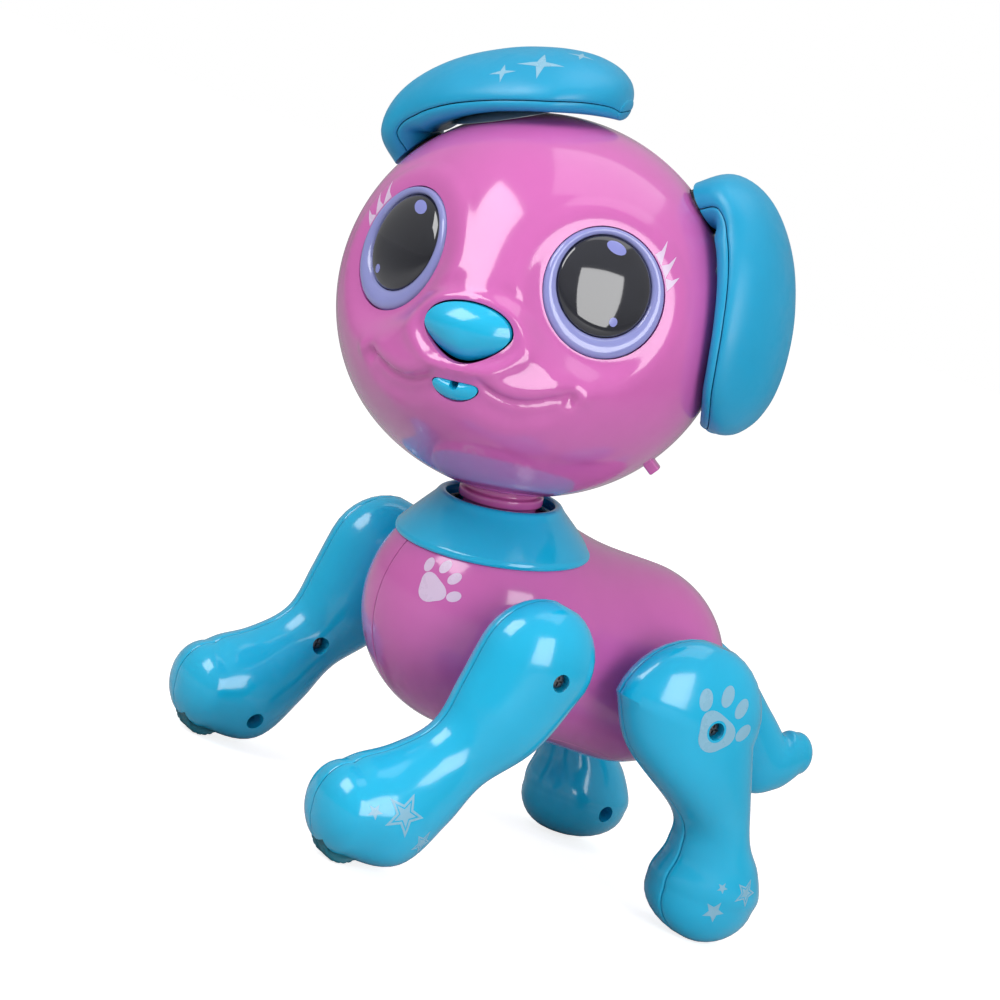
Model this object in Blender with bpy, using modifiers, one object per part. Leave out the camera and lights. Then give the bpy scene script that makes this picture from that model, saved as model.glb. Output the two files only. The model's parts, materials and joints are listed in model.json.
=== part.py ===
"""A posable toy robot dog: hollow moulded shells round a battery box, a board and a speaker.

The dog faces -Y, its left side is +X and it stands on z = 0.  Sizes are in metres.
The head swivels and nods on a neck post, each ear and each leg turns on its own pivot,
the tail wags, both front paws hide a small roller, the nose is a push button and a
slide switch sits under the back of the head.
"""
import math

import bmesh
import bpy
import numpy as np
from mathutils import Matrix, Vector

MM = 0.001
GAP = 0.3 * MM                                   # between touching or cut neighbours
WALL = 2.2 * MM                                  # moulded shell thickness
FAR = 300 * MM                                   # larger than the whole dog
ROD_ROLL = 0.11                                  # keeps a rod's edges off those it is cut from
CENTRE = Vector((0, -13.35, 0)) * MM            # puts the standing dog's box over the origin

# ---- body ---------------------------------------------------------------------------
CHEST = Vector((0, -15.5, 67)) * MM
RUMP = Vector((0, 36, 65.2)) * MM
CHEST_RADIUS = 34.0 * MM
RUMP_RADIUS = 30.0 * MM
WAIST_DIP = 1.6 * MM
BODY_FACETS = (26, 5)                            # round the body, along each quarter arc

# ---- neck and collar ----------------------------------------------------------------
NECK_LEAN = math.radians(14)                     # the neck axis leans forward
NECK_HEIGHT = 89.3 * MM                          # chest centre to head centre
NOD_HEIGHT = 13 * MM                             # chest centre to the nodding pin
HEAD_YAW = math.radians(44.5)                      # the dog looks to its left
COLLAR_FOOT = 20.5 * MM                          # chest centre to the collar's lower edge
COLLAR_TOP = 34 * MM
COLLAR_OPENING = 15.5 * MM

# ---- head, in its own frame: face -Y, up +Z -----------------------------------------
HEAD_RADII = Vector((55, 54, 53)) * MM
HEAD_SEAM = 8 * MM                               # face shell in front, rear shell behind
EYE_SIDE = math.radians(37.5)
EYE_RISE = math.radians(17)
EYE_RADIUS = 17.5 * MM
LENS_RADIUS = 14.3 * MM
LENS_LIFT = 1.4 * MM                             # the lens sits high in its rim
NOSE_RISE = math.radians(1)
NOSE_SIZE = (11.8 * MM, 8.0 * MM)                # half width, half height
NOSE_TRAVEL = 1.2 * MM
MOUTH_RISE = math.radians(-12.5)
MOUTH_SIZE = (6.2 * MM, 3.6 * MM)
EAR_RISE = math.radians(40)
EAR_INSIDE = 55.9 * MM                           # head centre to the ear's hollow side
EAR_FLIP = math.radians(180)                     # the right ear is turned up over the head

# ---- legs, tail and rollers ---------------------------------------------------------
SHOULDER = Vector((48.5, -22, 65)) * MM
HIP = Vector((42.7, 37, 63)) * MM
PIVOT_RADIUS = 7 * MM
TAIL_PIN = Vector((0, 62, 75)) * MM
ROLLER_RADIUS = 7 * MM
ROLLER_HALF_WIDTH = 4.4 * MM
SCREW_HEAD_RADIUS = 2.2 * MM

# ---- battery box --------------------------------------------------------------------
CELL_RADIUS = 5.2 * MM
CELL_LENGTH = 44.2 * MM
CELL_PITCH = 10.8 * MM
BOX_CENTRE = Vector((0, 19, 55.4)) * MM
BOX_HALF = Vector((17.3, 24.2, 6.8)) * MM

FINISHES = {                                     # colour, roughness, metallic
    "pink": ((0.60, 0.16, 0.50), 0.22, 0.0),
    "blue": ((0.02, 0.42, 0.66), 0.25, 0.0),
    "soft_blue": ((0.02, 0.40, 0.63), 0.45, 0.0),
    "lilac": ((0.30, 0.30, 0.72), 0.2, 0.0),
    "lens": ((0.012, 0.012, 0.016), 0.06, 0.0),
    "grey": ((0.42, 0.43, 0.45), 0.4, 0.2),
    "teal": ((0.0, 0.30, 0.34), 0.35, 0.0),
    "steel": ((0.55, 0.55, 0.57), 0.3, 1.0),
    "board": ((0.02, 0.20, 0.08), 0.45, 0.0),
    "white": ((0.75, 0.75, 0.73), 0.4, 0.0),
    "black": ((0.03, 0.03, 0.03), 0.5, 0.0),
}


# ---- scene and small helpers --------------------------------------------------------
def clear_scene():
    for old in list(bpy.data.objects):
        bpy.data.objects.remove(old, do_unlink=True)


def new_collection(name):
    group = bpy.data.collections.new(name)
    bpy.context.scene.collection.children.link(group)
    return group


def make_materials():
    made = {}
    for name, (colour, roughness, metallic) in FINISHES.items():
        material = bpy.data.materials.new(name)
        material.use_nodes = True
        shader = material.node_tree.nodes["Principled BSDF"]
        shader.inputs["Base Color"].default_value = (*colour, 1.0)
        shader.inputs["Roughness"].default_value = roughness
        shader.inputs["Metallic"].default_value = metallic
        made[name] = material
    return made


clear_scene()
PARTS = new_collection("robot_dog_toy")
TOOLS = new_collection("cutters")
MATERIALS = make_materials()


def solid(mesh):
    """Wrap a mesh in an object that other solids can be cut with or joined to."""
    item = bpy.data.objects.new("shape", mesh)
    item.hide_render = True
    item.display_type = "WIRE"
    TOOLS.objects.link(item)
    return item


def from_bmesh(form):
    bmesh.ops.recalc_face_normals(form, faces=form.faces)
    mesh = bpy.data.meshes.new("shape")
    form.to_mesh(mesh)
    form.free()
    return solid(mesh)


def settle(item):
    """Apply an object's modifiers to its mesh."""
    bpy.context.view_layer.update()
    evaluated = item.evaluated_get(bpy.context.evaluated_depsgraph_get())
    old = item.data
    item.data = bpy.data.meshes.new_from_object(evaluated)
    item.modifiers.clear()
    bpy.data.meshes.remove(old)
    return item


def combine(item, tool, operation):
    change = item.modifiers.new("change", "BOOLEAN")
    change.operation = operation
    change.solver = "EXACT"
    change.object = tool
    settle(item)
    bpy.data.objects.remove(tool, do_unlink=True)
    return item


def cut(item, *tools):
    for tool in tools:
        combine(item, tool, "DIFFERENCE")
    return item


def join(item, *tools):
    for tool in tools:
        combine(item, tool, "UNION")
    return item


def common(item, tool):
    return combine(item, tool, "INTERSECT")


def copy(item):
    return solid(item.data.copy())


def moved(item, matrix):
    item.data.transform(matrix)
    return item


def mirrored(item):
    """The other-hand copy, across x = 0."""
    twin = solid(item.data.copy())
    twin.data.transform(Matrix.Scale(-1, 4, (1, 0, 0)))
    twin.data.flip_normals()
    return twin


def facing(point, direction):
    """A frame at point whose +Z looks along direction and whose +X stays level."""
    forward = Vector(direction).normalized()
    side = Vector((0, 0, 1)).cross(forward)
    if side.length < 1e-6:
        side = Vector((1, 0, 0))
    side.normalize()
    up = forward.cross(side)
    turn = Matrix((side, up, forward)).transposed()
    return Matrix.Translation(point) @ turn.to_4x4()


# ---- basic solids -------------------------------------------------------------------
def block(low, high):
    form = bmesh.new()
    bmesh.ops.create_cube(form, size=1)
    low, high = Vector(low), Vector(high)
    bmesh.ops.scale(form, vec=high - low, verts=form.verts)
    bmesh.ops.translate(form, vec=(high + low) / 2, verts=form.verts)
    return from_bmesh(form)


def rod(start, end, radius, sides=20, end_radius=None):
    """A round bar between two points, tapered where end_radius is given."""
    start, end = Vector(start), Vector(end)
    form = bmesh.new()
    bmesh.ops.create_cone(form, cap_ends=True, segments=sides, radius1=radius,
                          radius2=radius if end_radius is None else end_radius,
                          depth=(end - start).length)
    turn = Vector((0, 0, 1)).rotation_difference(end - start).to_matrix().to_4x4()
    askew = Matrix.Rotation(ROD_ROLL, 4, "Z")
    form.transform(Matrix.Translation((start + end) / 2) @ turn @ askew)
    return from_bmesh(form)


def turned(profile, sides, frame=Matrix.Identity(4)):
    """A closed or axis-to-axis profile of (radius, height), top to bottom, turned round +Z."""
    mesh = bpy.data.meshes.new("profile")
    points = [(radius, 0, height) for radius, height in profile]
    edges = [(i, i + 1) for i in range(len(points) - 1)]
    if profile[0][0] > 0:
        edges.append((len(points) - 1, 0))
    mesh.from_pydata(points, edges, [])
    item = solid(mesh)
    screw = item.modifiers.new("turn", "SCREW")
    screw.steps = sides
    screw.render_steps = sides
    screw.use_merge_vertices = True
    screw.merge_threshold = 0.00001
    settle(item)
    form = bmesh.new()
    form.from_mesh(item.data)
    bmesh.ops.remove_doubles(form, verts=form.verts, dist=0.00001)
    bmesh.ops.recalc_face_normals(form, faces=form.faces)
    form.to_mesh(item.data)
    form.free()
    return moved(item, frame)


def plate(outline, half_thickness, frame=Matrix.Identity(4)):
    """A flat outline in XY, extruded both ways along Z."""
    curve = bpy.data.curves.new("outline", "CURVE")
    curve.dimensions = "2D"
    curve.fill_mode = "BOTH"
    curve.extrude = half_thickness
    spline = curve.splines.new("POLY")
    spline.points.add(len(outline) - 1)
    for point, (x, y) in zip(spline.points, outline):
        point.co = (x, y, 0, 1)
    spline.use_cyclic_u = True
    drawn = bpy.data.objects.new("outline", curve)
    TOOLS.objects.link(drawn)
    bpy.context.view_layer.update()
    evaluated = drawn.evaluated_get(bpy.context.evaluated_depsgraph_get())
    form = bmesh.new()
    form.from_mesh(bpy.data.meshes.new_from_object(evaluated))
    bmesh.ops.remove_doubles(form, verts=form.verts, dist=0.00001)
    bpy.data.objects.remove(drawn, do_unlink=True)
    return moved(from_bmesh(form), frame)


# ---- lofted limbs -------------------------------------------------------------------
def smooth_rows(keys, per_span):
    """Catmull-Rom rows through the key rows, per_span rows from each key to the next."""
    keys = np.array(keys, dtype=float)
    padded = np.vstack([2 * keys[0] - keys[1], keys, 2 * keys[-1] - keys[-2]])
    rows = []
    for i in range(len(keys) - 1):
        before, start, end, after = padded[i:i + 4]
        for step in range(per_span):
            t = step / per_span
            rows.append(0.5 * (2 * start + (end - before) * t
                               + (2 * before - 5 * start + 4 * end - after) * t ** 2
                               + (3 * start - before - 3 * end + after) * t ** 3))
    rows.append(keys[-1])
    return rows


def dome_rows(row, reach, steps, outward):
    """Shrinking rows that close one end of a limb with a rounded dome."""
    x, y, z, tilt, half_depth, half_width = row
    rows = []
    for step in range(1, steps + 1):
        angle = math.radians(74) * step / steps
        grow = outward * reach * math.sin(angle)
        rows.append((x, y + grow * math.sin(tilt), z - grow * math.cos(tilt), tilt,
                     half_depth * math.cos(angle), half_width * math.cos(angle)))
    return rows


def limb(keys, domes, sides=16, per_span=2, inset=0.0, power=2.0):
    """A solid limb along a path in the YZ plane.

    A key row holds x, y, z and the tilt of its section (0 faces down, 90 faces rearward),
    then the section's half depth in the YZ plane and its half width along X.
    domes gives how far the rounded start and end reach; zero leaves that end flat.
    """
    rows = [(x * MM, y * MM, z * MM, math.radians(tilt), depth * MM - inset, width * MM - inset)
            for x, y, z, tilt, depth, width in keys]
    middle = [tuple(row) for row in smooth_rows(rows, per_span)]
    start, end = (max(reach * MM - inset, 0) for reach in domes)
    before = dome_rows(middle[0], start, 2, -1)[::-1] if start > 0 else []
    after = dome_rows(middle[-1], end, 2, 1) if end > 0 else []
    form = bmesh.new()
    rings = []
    for x, y, z, tilt, half_depth, half_width in before + middle + after:
        ring = []
        for side in range(sides):
            angle = 2 * math.pi * side / sides
            across = math.copysign(abs(math.sin(angle)) ** (2 / power), math.sin(angle))
            along = math.copysign(abs(math.cos(angle)) ** (2 / power), math.cos(angle))
            ring.append(form.verts.new((x + half_width * across,
                                        y + half_depth * along * math.cos(tilt),
                                        z + half_depth * along * math.sin(tilt))))
        rings.append(ring)
    for ring, following in zip(rings, rings[1:]):
        for i in range(sides):
            j = (i + 1) % sides
            form.faces.new((ring[i], ring[j], following[j], following[i]))
    form.faces.new(rings[0][::-1])
    form.faces.new(rings[-1])
    bmesh.ops.triangulate(form, faces=form.faces)    # bent faces would spoil later cuts
    return from_bmesh(form)


def half_space(sign, edge=GAP / 2):
    """Everything on one side of x = 0, less half a gap."""
    near, far = sign * edge, sign * FAR
    return block((min(near, far), -FAR, -FAR), (max(near, far), FAR, FAR))


# ---- frames -------------------------------------------------------------------------
def empty(name, matrix, parent):
    axis = bpy.data.objects.new(name, None)
    axis.empty_display_size = 0.01
    PARTS.objects.link(axis)
    axis.parent = parent
    axis.matrix_local = matrix
    return axis


NECK_FRAME = Matrix.Translation(CHEST) @ Matrix.Rotation(NECK_LEAN, 4, "X")
UP = Vector((0, 0, 1))
LEFT = Vector((1, 0, 0))

dog = empty("dog", Matrix.Translation(CENTRE), None)
neck = empty("neck_pin", NECK_FRAME @ Matrix.Translation(UP * NOD_HEIGHT), dog)
head = empty("head_axis", Matrix.Translation(UP * (NECK_HEIGHT - NOD_HEIGHT))
             @ Matrix.Rotation(HEAD_YAW, 4, "Z"), neck)
tail_axis = empty("tail_axis", Matrix.Translation(TAIL_PIN), dog)


def add_part(name, item, finish, parent, edge_angle=35):
    """Name a finished solid, give it its material and hang it on its frame."""
    item.name = name
    item.data.name = name
    item.hide_render = False
    item.display_type = "TEXTURED"
    TOOLS.objects.unlink(item)
    PARTS.objects.link(item)
    item.data.materials.clear()
    item.data.materials.append(MATERIALS[finish])
    item.data.shade_smooth()
    item.data.set_sharp_from_angle(angle=math.radians(edge_angle))
    item.parent = parent
    return item


def screw(seat, direction, length):
    """A pan-head cross screw whose head sits on seat and points back along direction."""
    frame = facing(seat, direction)
    head_height = 1.5 * MM
    shank = 1.0 * MM
    body = turned([(0, head_height), (SCREW_HEAD_RADIUS * 0.8, head_height),
                   (SCREW_HEAD_RADIUS, head_height * 0.5), (SCREW_HEAD_RADIUS, 0),
                   (shank, 0), (shank, -length + shank), (0, -length)], 10)
    arm, slot = 1.3 * MM, 0.3 * MM
    for along, across in ((arm, slot), (slot, arm)):
        cut(body, block((-along, -across, 0.8 * MM), (along, across, 2 * MM)))
    return moved(body, frame)


# ---- body shells, collar and neck ---------------------------------------------------
def body_solid(inset, sides, arc_steps):
    """The chest ball and the rump ball in one skin with a shallow waist between them."""
    half = (CHEST - RUMP).length / 2
    waist_steps = arc_steps
    profile = []
    for step in range(arc_steps):
        angle = math.pi / 2 * step / arc_steps
        radius = CHEST_RADIUS - inset
        profile.append((radius * math.sin(angle), half + radius * math.cos(angle)))
    for step in range(waist_steps + 1):
        t = step / waist_steps
        ease = t * t * (3 - 2 * t)
        radius = CHEST_RADIUS + (RUMP_RADIUS - CHEST_RADIUS) * ease
        radius -= WAIST_DIP * math.sin(math.pi * t) ** 2
        profile.append((radius - inset, half - 2 * half * t))
    for step in range(1, arc_steps + 1):
        angle = math.pi / 2 * step / arc_steps
        radius = RUMP_RADIUS - inset
        profile.append((radius * math.cos(angle), -half - radius * math.sin(angle)))
    profile[-1] = (0, profile[-1][1])
    return turned(profile, sides, facing((CHEST + RUMP) / 2, CHEST - RUMP))


def battery_hatch(clearance):
    """The opening in the belly under the battery box."""
    half = BOX_HALF - Vector((2.4, 2.4, 0)) * MM + Vector((1, 1, 0)) * clearance
    return block((BOX_CENTRE.x - half.x, BOX_CENTRE.y - half.y, 0),
                 (BOX_CENTRE.x + half.x, BOX_CENTRE.y + half.y, BOX_CENTRE.z - 8 * MM))


HATCH_SCREW = Vector((0, 35, 38.2)) * MM
SPEAKER_CENTRE = Vector((0, -36, 64)) * MM


def make_body():
    shell = body_solid(0, *BODY_FACETS)
    cut(shell, body_solid(WALL, 14, 3))
    hatch = common(copy(shell), battery_hatch(0))
    cut(shell, battery_hatch(GAP))
    cut(hatch, rod(HATCH_SCREW - UP * 5 * MM, HATCH_SCREW, 2.6 * MM, 12),
        rod(HATCH_SCREW - UP * MM, HATCH_SCREW + UP * 5 * MM, 1.25 * MM, 12))
    add_part("battery_door", hatch, "pink", dog)
    add_part("battery_door_screw", screw(HATCH_SCREW + UP * -0.3 * MM, -UP, 6 * MM), "steel", dog)
    cut(shell, rod(CHEST, CHEST + NECK_FRAME.to_3x3() @ UP * FAR, 20.5 * MM, 24))
    for pivot in (SHOULDER, HIP):
        reach = Vector((60, 0, 0)) * MM
        cut(shell, rod(pivot - reach - LEFT * 2 * pivot.x, pivot + reach, PIVOT_RADIUS + GAP, 20))
    cut(shell, rod(TAIL_PIN - Vector((0, 8, 0)) * MM, TAIL_PIN + Vector((0, 9, 0)) * MM,
                   5.4 * MM, 16))
    for side, sign in (("left", 1), ("right", -1)):
        half = common(copy(shell), half_space(sign))
        add_part(f"body_{side}_shell", half, "pink", dog)
    bpy.data.objects.remove(shell, do_unlink=True)


def make_collar():
    """A cone ring seated on the chest, with two lugs that hold the nodding pin."""
    foot = math.sqrt((CHEST_RADIUS + GAP) ** 2 - COLLAR_FOOT ** 2)
    lip = 1.0 * MM
    profile = [(COLLAR_OPENING + 0.6 * MM, COLLAR_TOP), (COLLAR_OPENING + 1.6 * MM, COLLAR_TOP),
               (COLLAR_OPENING + 2.4 * MM, COLLAR_TOP - lip),
               (COLLAR_OPENING + 6.4 * MM, COLLAR_TOP - 5.2 * MM),
               (foot + 0.3 * MM, COLLAR_FOOT + 2.0 * MM), (foot + 0.7 * MM, COLLAR_FOOT + 0.9 * MM),
               (foot + 0.2 * MM, COLLAR_FOOT)]
    profile += [(foot - 3 * MM, COLLAR_FOOT), (19.4 * MM, 26 * MM),
                (COLLAR_OPENING + 0.4 * MM, 30 * MM), (COLLAR_OPENING, COLLAR_TOP - lip)]
    ring = turned(profile, 24, NECK_FRAME)
    cut(ring, body_solid(-GAP, *BODY_FACETS))
    pin = Vector((17.5, 0, 0)) * MM
    pin_hole = rod(UP * NOD_HEIGHT + pin, UP * NOD_HEIGHT - pin, 3.1 * MM, 16)
    for sign in (1, -1):
        low = min(sign * 12.6, sign * 16.6) * MM
        high = max(sign * 12.6, sign * 16.6) * MM
        lug = block((low, -4 * MM, NOD_HEIGHT - 4 * MM), (high, 4 * MM, 30.5 * MM))
        join(ring, moved(lug, NECK_FRAME))
    cut(ring, moved(pin_hole, NECK_FRAME))
    add_part("collar", ring, "blue", dog)


def make_neck_post():
    """The post that carries the head: a pin across its foot and a catch inside the head."""
    floor = (NECK_HEIGHT - HEAD_RADII.z) / MM
    steps = [(0, floor + 9.4), (9, floor + 9.4), (9, floor + 7.2), (15.5, floor + 7.2),
             (15.5, floor + 5.2), (10.4, floor + 5.2), (10.4, floor - 0.3), (12, floor - 0.6),
             (12, floor - 3), (10.5, floor - 3.4), (10.5, 12), (7, 7), (0, 7)]
    profile = [(radius * MM, height * MM - NOD_HEIGHT) for radius, height in steps]
    post = turned(profile, 18)
    join(post, rod((-16.2 * MM, 0, 0), (16.2 * MM, 0, 0), 2.8 * MM, 16))
    add_part("neck_post", post, "pink", neck)


# ---- insides of the body ------------------------------------------------------------
def make_electrics():
    wall = 1.2 * MM
    low, high = BOX_CENTRE - BOX_HALF, BOX_CENTRE + BOX_HALF
    tray = block(low, high)
    cut(tray, block(low + Vector((wall, wall, -wall)), high - Vector((wall, wall, wall))))
    add_part("battery_box", tray, "black", dog)
    for index in (-1, 0, 1):
        centre = BOX_CENTRE + LEFT * index * CELL_PITCH
        half = CELL_LENGTH / 2
        nub = 0.8 * MM
        profile = [(0, half), (1.9 * MM, half), (1.9 * MM, half - nub), (CELL_RADIUS, half - nub),
                   (CELL_RADIUS, -half), (0, -half)]
        cell = turned(profile, 16, facing(centre, (0, 1 if index else -1, 0)))
        add_part(f"battery_cell_{index + 2}", cell, "white", dog)
    board = block(Vector((-16, -2, 64.5)) * MM, Vector((16, 38, 66.1)) * MM)
    add_part("main_board", board, "board", dog)
    cone = turned([(0, 1.0 * MM), (4 * MM, 1.4 * MM), (11.6 * MM, 3 * MM), (13 * MM, 3 * MM),
                   (13 * MM, 0), (8 * MM, -1 * MM), (8 * MM, -4 * MM), (0, -4 * MM)], 18,
                  facing(SPEAKER_CENTRE, (0, -1, 0)))
    add_part("speaker", cone, "black", dog)


# ---- head ---------------------------------------------------------------------------
def direction(side, rise):
    """A unit vector from the head's centre: side to the dog's left of the face, rise up."""
    return Vector((math.sin(side) * math.cos(rise), -math.cos(side) * math.cos(rise),
                   math.sin(rise)))


BUMPS = (                                        # side, rise, spread (degrees), height (mm)
    (0, -12, 17, 10.5),                          # muzzle
    (30, -24, 17, 2.6), (-30, -24, 17, 2.6),     # cheeks
    (39, 18, 14, -4.5), (-39, 18, 14, -4.5),     # the flatter ground round each eye
    (0, 42, 26, 0.8),                            # forehead
)


def head_radius(way):
    """How far the head's skin is from its centre along a unit vector."""
    base = 1 / math.sqrt(sum((way[i] / HEAD_RADII[i]) ** 2 for i in range(3)))
    for side, rise, spread, height in BUMPS:
        aim = direction(math.radians(side), math.radians(rise))
        angle = math.degrees(math.acos(max(-1, min(1, way.dot(aim)))))
        base += height * MM * math.exp(-0.5 * (angle / spread) ** 2)
    return base


def head_solid(inset, columns, rows):
    form = bmesh.new()
    bmesh.ops.create_uvsphere(form, u_segments=columns, v_segments=rows, radius=1)
    for vert in form.verts:
        way = vert.co.normalized()
        vert.co = way * (head_radius(way) - inset)
    bmesh.ops.triangulate(form, faces=form.faces)    # bent faces would spoil later cuts
    return from_bmesh(form)


def outline_points(half_width, half_height, pinch, flat, count=18):
    """A rounded outline whose lower half narrows by pinch and upper half is flattened."""
    points = []
    for step in range(count):
        angle = 2 * math.pi * step / count
        x, y = math.cos(angle), math.sin(angle)
        x *= 1 - pinch * max(-y, 0) ** 1.3
        y *= 1 - flat * max(y, 0)
        points.append((half_width * x, half_height * y))
    return points


def button(outline, frame, depth, crown):
    """A plug with the given outline, a flat back and a domed front at frame's +Z."""
    rings = [(0.985, -depth), (1.0, -crown * 0.9), (0.93, -crown * 0.45), (0.72, -crown * 0.12),
             (0.38, 0)]
    form = bmesh.new()
    made = [[form.verts.new((x * size, y * size, height)) for x, y in outline]
            for size, height in rings]
    count = len(outline)
    for ring, following in zip(made, made[1:]):
        for i in range(count):
            j = (i + 1) % count
            form.faces.new((ring[i], ring[j], following[j], following[i]))
    form.faces.new(made[0][::-1])
    form.faces.new(made[-1])
    form.transform(frame)
    return from_bmesh(form)


def eye_frame(sign):
    way = direction(sign * EYE_SIDE, EYE_RISE)
    return facing(way * head_radius(way), way)


def nose_frame():
    way = direction(0, NOSE_RISE)
    return facing(way * (head_radius(way) + 2.6 * MM), way)


def mouth_frame():
    way = direction(0, MOUTH_RISE)
    return facing(way * (head_radius(way) + 0.5 * MM), way)


def ear_frame(sign):
    """Origin on the head's seam; +Z out along the ear's pivot, +X down the hanging ear."""
    out = Vector((sign * math.cos(EAR_RISE), 0, math.sin(EAR_RISE)))
    down = Vector((sign * math.sin(EAR_RISE), 0, -math.cos(EAR_RISE)))
    side = out.cross(down)
    turn = Matrix((down, side, out)).transposed().to_4x4()
    return Matrix.Translation((0, HEAD_SEAM, 0)) @ turn


NOSE_OUTLINE = outline_points(*NOSE_SIZE, 0.42, 0.12)
MOUTH_OUTLINE = outline_points(*MOUTH_SIZE, 0.10, 0.55, 14)
KNOB_WAY = direction(math.radians(96), math.radians(-43))
KNOB_TRAVEL = 2.5 * MM


def knob_frame():
    return facing(KNOB_WAY * head_radius(KNOB_WAY), KNOB_WAY)


def grown(outline, extra):
    widest = max(abs(x) for x, y in outline)
    tallest = max(abs(y) for x, y in outline)
    return [(x * (1 + extra / widest), y * (1 + extra / tallest)) for x, y in outline]


def make_head():
    shell = head_solid(0, 28, 16)
    cut(shell, head_solid(WALL, 16, 10))
    for sign in (1, -1):
        frame = eye_frame(sign)
        cut(shell, rod(frame @ Vector((0, 0, -0.012)), frame @ Vector((0, 0, 0.02)),
                       EYE_RADIUS + GAP, 24))
        frame = ear_frame(sign)
        cut(shell, rod(frame @ (UP * 30 * MM), frame @ (UP * 80 * MM), PIVOT_RADIUS + GAP, 20))
    cut(shell, plate(grown(NOSE_OUTLINE, 0.5 * MM), 14 * MM, nose_frame()),
        plate(grown(MOUTH_OUTLINE, GAP), 10 * MM, mouth_frame()),
        rod((0, 0, -70 * MM), (0, 0, -30 * MM), 10.8 * MM, 24))
    slot = Vector((2.2 * MM + KNOB_TRAVEL, 2.0 * MM, 8 * MM))
    cut(shell, moved(block(-slot, slot), knob_frame()))
    face = common(copy(shell), block((-FAR, -FAR, -FAR), (FAR, HEAD_SEAM - GAP / 2, FAR)))
    rear = common(shell, block((-FAR, HEAD_SEAM + GAP / 2, -FAR), (FAR, FAR, FAR)))
    add_part("head_face_shell", face, "pink", head)
    add_part("head_rear_shell", rear, "pink", head)


def make_eyes():
    for side, sign in (("left", 1), ("right", -1)):
        frame = eye_frame(sign)
        lift = Vector((0, LENS_LIFT, 0))
        rim = turned([(EYE_RADIUS - 5 * MM, 0.4 * MM), (EYE_RADIUS - 1.2 * MM, 0.4 * MM),
                      (EYE_RADIUS, -0.9 * MM), (EYE_RADIUS, -5 * MM),
                      (EYE_RADIUS - 5 * MM, -5 * MM)], 24)
        cut(rim, rod(lift - UP * 0.01, lift + UP * 0.01, LENS_RADIUS + GAP, 24))
        add_part(f"{side}_eye_rim", moved(rim, frame), "lilac", head)
        dome = [(LENS_RADIUS * math.sin(angle), 2.6 * MM * math.cos(angle) - 0.6 * MM)
                for angle in (math.radians(28 * step) for step in range(1, 4))]
        lens = turned([(0, 2.0 * MM)] + dome + [(LENS_RADIUS, -0.8 * MM),
                      (LENS_RADIUS, -3.2 * MM), (0, -3.2 * MM)], 24)
        place = frame @ Matrix.Translation(lift)
        add_part(f"{side}_eye_lens", moved(lens, place), "lens", head)
        board = turned([(0, -7 * MM), (12 * MM, -7 * MM), (12 * MM, -8.4 * MM), (0, -8.4 * MM)],
                       16, frame)
        add_part(f"{side}_eye_board", board, "board", head)


def make_muzzle():
    nose = button(NOSE_OUTLINE, nose_frame(), 9 * MM, 4.6 * MM)
    add_part("nose_button", nose, "blue", head, 60)
    switch = moved(block((-3 * MM, -3 * MM, -14.6 * MM), (3 * MM, 3 * MM, -10.6 * MM)),
                   nose_frame())
    add_part("nose_switch", switch, "black", head)
    insert = button(MOUTH_OUTLINE, mouth_frame(), 5 * MM, 1.6 * MM)
    frame = mouth_frame()
    top = Vector((0, 1.0 * MM, 0))
    cut(insert, rod(frame @ (top + UP * 0.01), frame @ (top - UP * 0.01), 1.2 * MM, 12))
    add_part("mouth_insert", insert, "blue", head, 60)


def make_power_switch():
    frame = knob_frame()
    knob = block((-2 * MM, -1.6 * MM, -3.4 * MM), (2 * MM, 1.6 * MM, 3.2 * MM))
    edges = knob.modifiers.new("edges", "BEVEL")
    edges.width = 0.5 * MM
    edges.segments = 2
    settle(knob)
    add_part("power_switch_knob", moved(knob, frame), "pink", head)
    body = block((-5.5 * MM, -2.6 * MM, -8.5 * MM), (5.5 * MM, 2.6 * MM, -3.8 * MM))
    add_part("power_switch_body", moved(body, frame), "black", head)


# ---- ears ---------------------------------------------------------------------------
EAR_ROWS = (                                     # angle round the head, half thickness, half width
    (9, 7.7, 18.5),
    (20, 7.8, 23.5),
    (32, 7.5, 26.4),
    (45, 6.9, 25.8),
    (55, 6.0, 20.5),
)


def ear_path_keys():
    """Rows for limb(), in a frame where y runs down the ear and z runs out of the head."""
    keys = [(0, -0.8, 55.4, 178, 7.0, 11.0), (0, 1.5, 60.8, 140, 7.6, 14.5)]
    for angle, half_thickness, half_width in EAR_ROWS:
        turn = math.radians(angle)
        radius = EAR_INSIDE / MM + half_thickness
        keys.append((0, radius * math.sin(turn), radius * math.cos(turn), 90 - angle,
                     half_thickness, half_width))
    return keys


def ear_solid(inset, sides, per_span):
    keys = ear_path_keys()
    if inset > 0:
        keys = keys[1:]
    ear = limb(keys, (0, 9), sides, per_span, inset, 2.3)
    return moved(ear, Matrix.Rotation(-math.pi / 2, 4, "Z"))


def ear_divider(offset):
    """The space under the ear's middle surface, as a thick plate with that outline."""
    outline = [(-offset - 0.5 * MM, 30 * MM), (-offset - 0.5 * MM, 59 * MM + offset)]
    rows = EAR_ROWS + ((80, EAR_ROWS[-1][1], 0),)
    for angle, half_thickness, _ in rows:
        turn = math.radians(angle)
        radius = EAR_INSIDE + half_thickness * MM + offset
        outline.append((radius * math.sin(turn), radius * math.cos(turn)))
    outline.append((90 * MM, 0))
    outline.append((30 * MM, 0))
    upright = Matrix.Rotation(math.pi / 2, 4, "X")
    return plate(outline, 60 * MM, upright)


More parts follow.
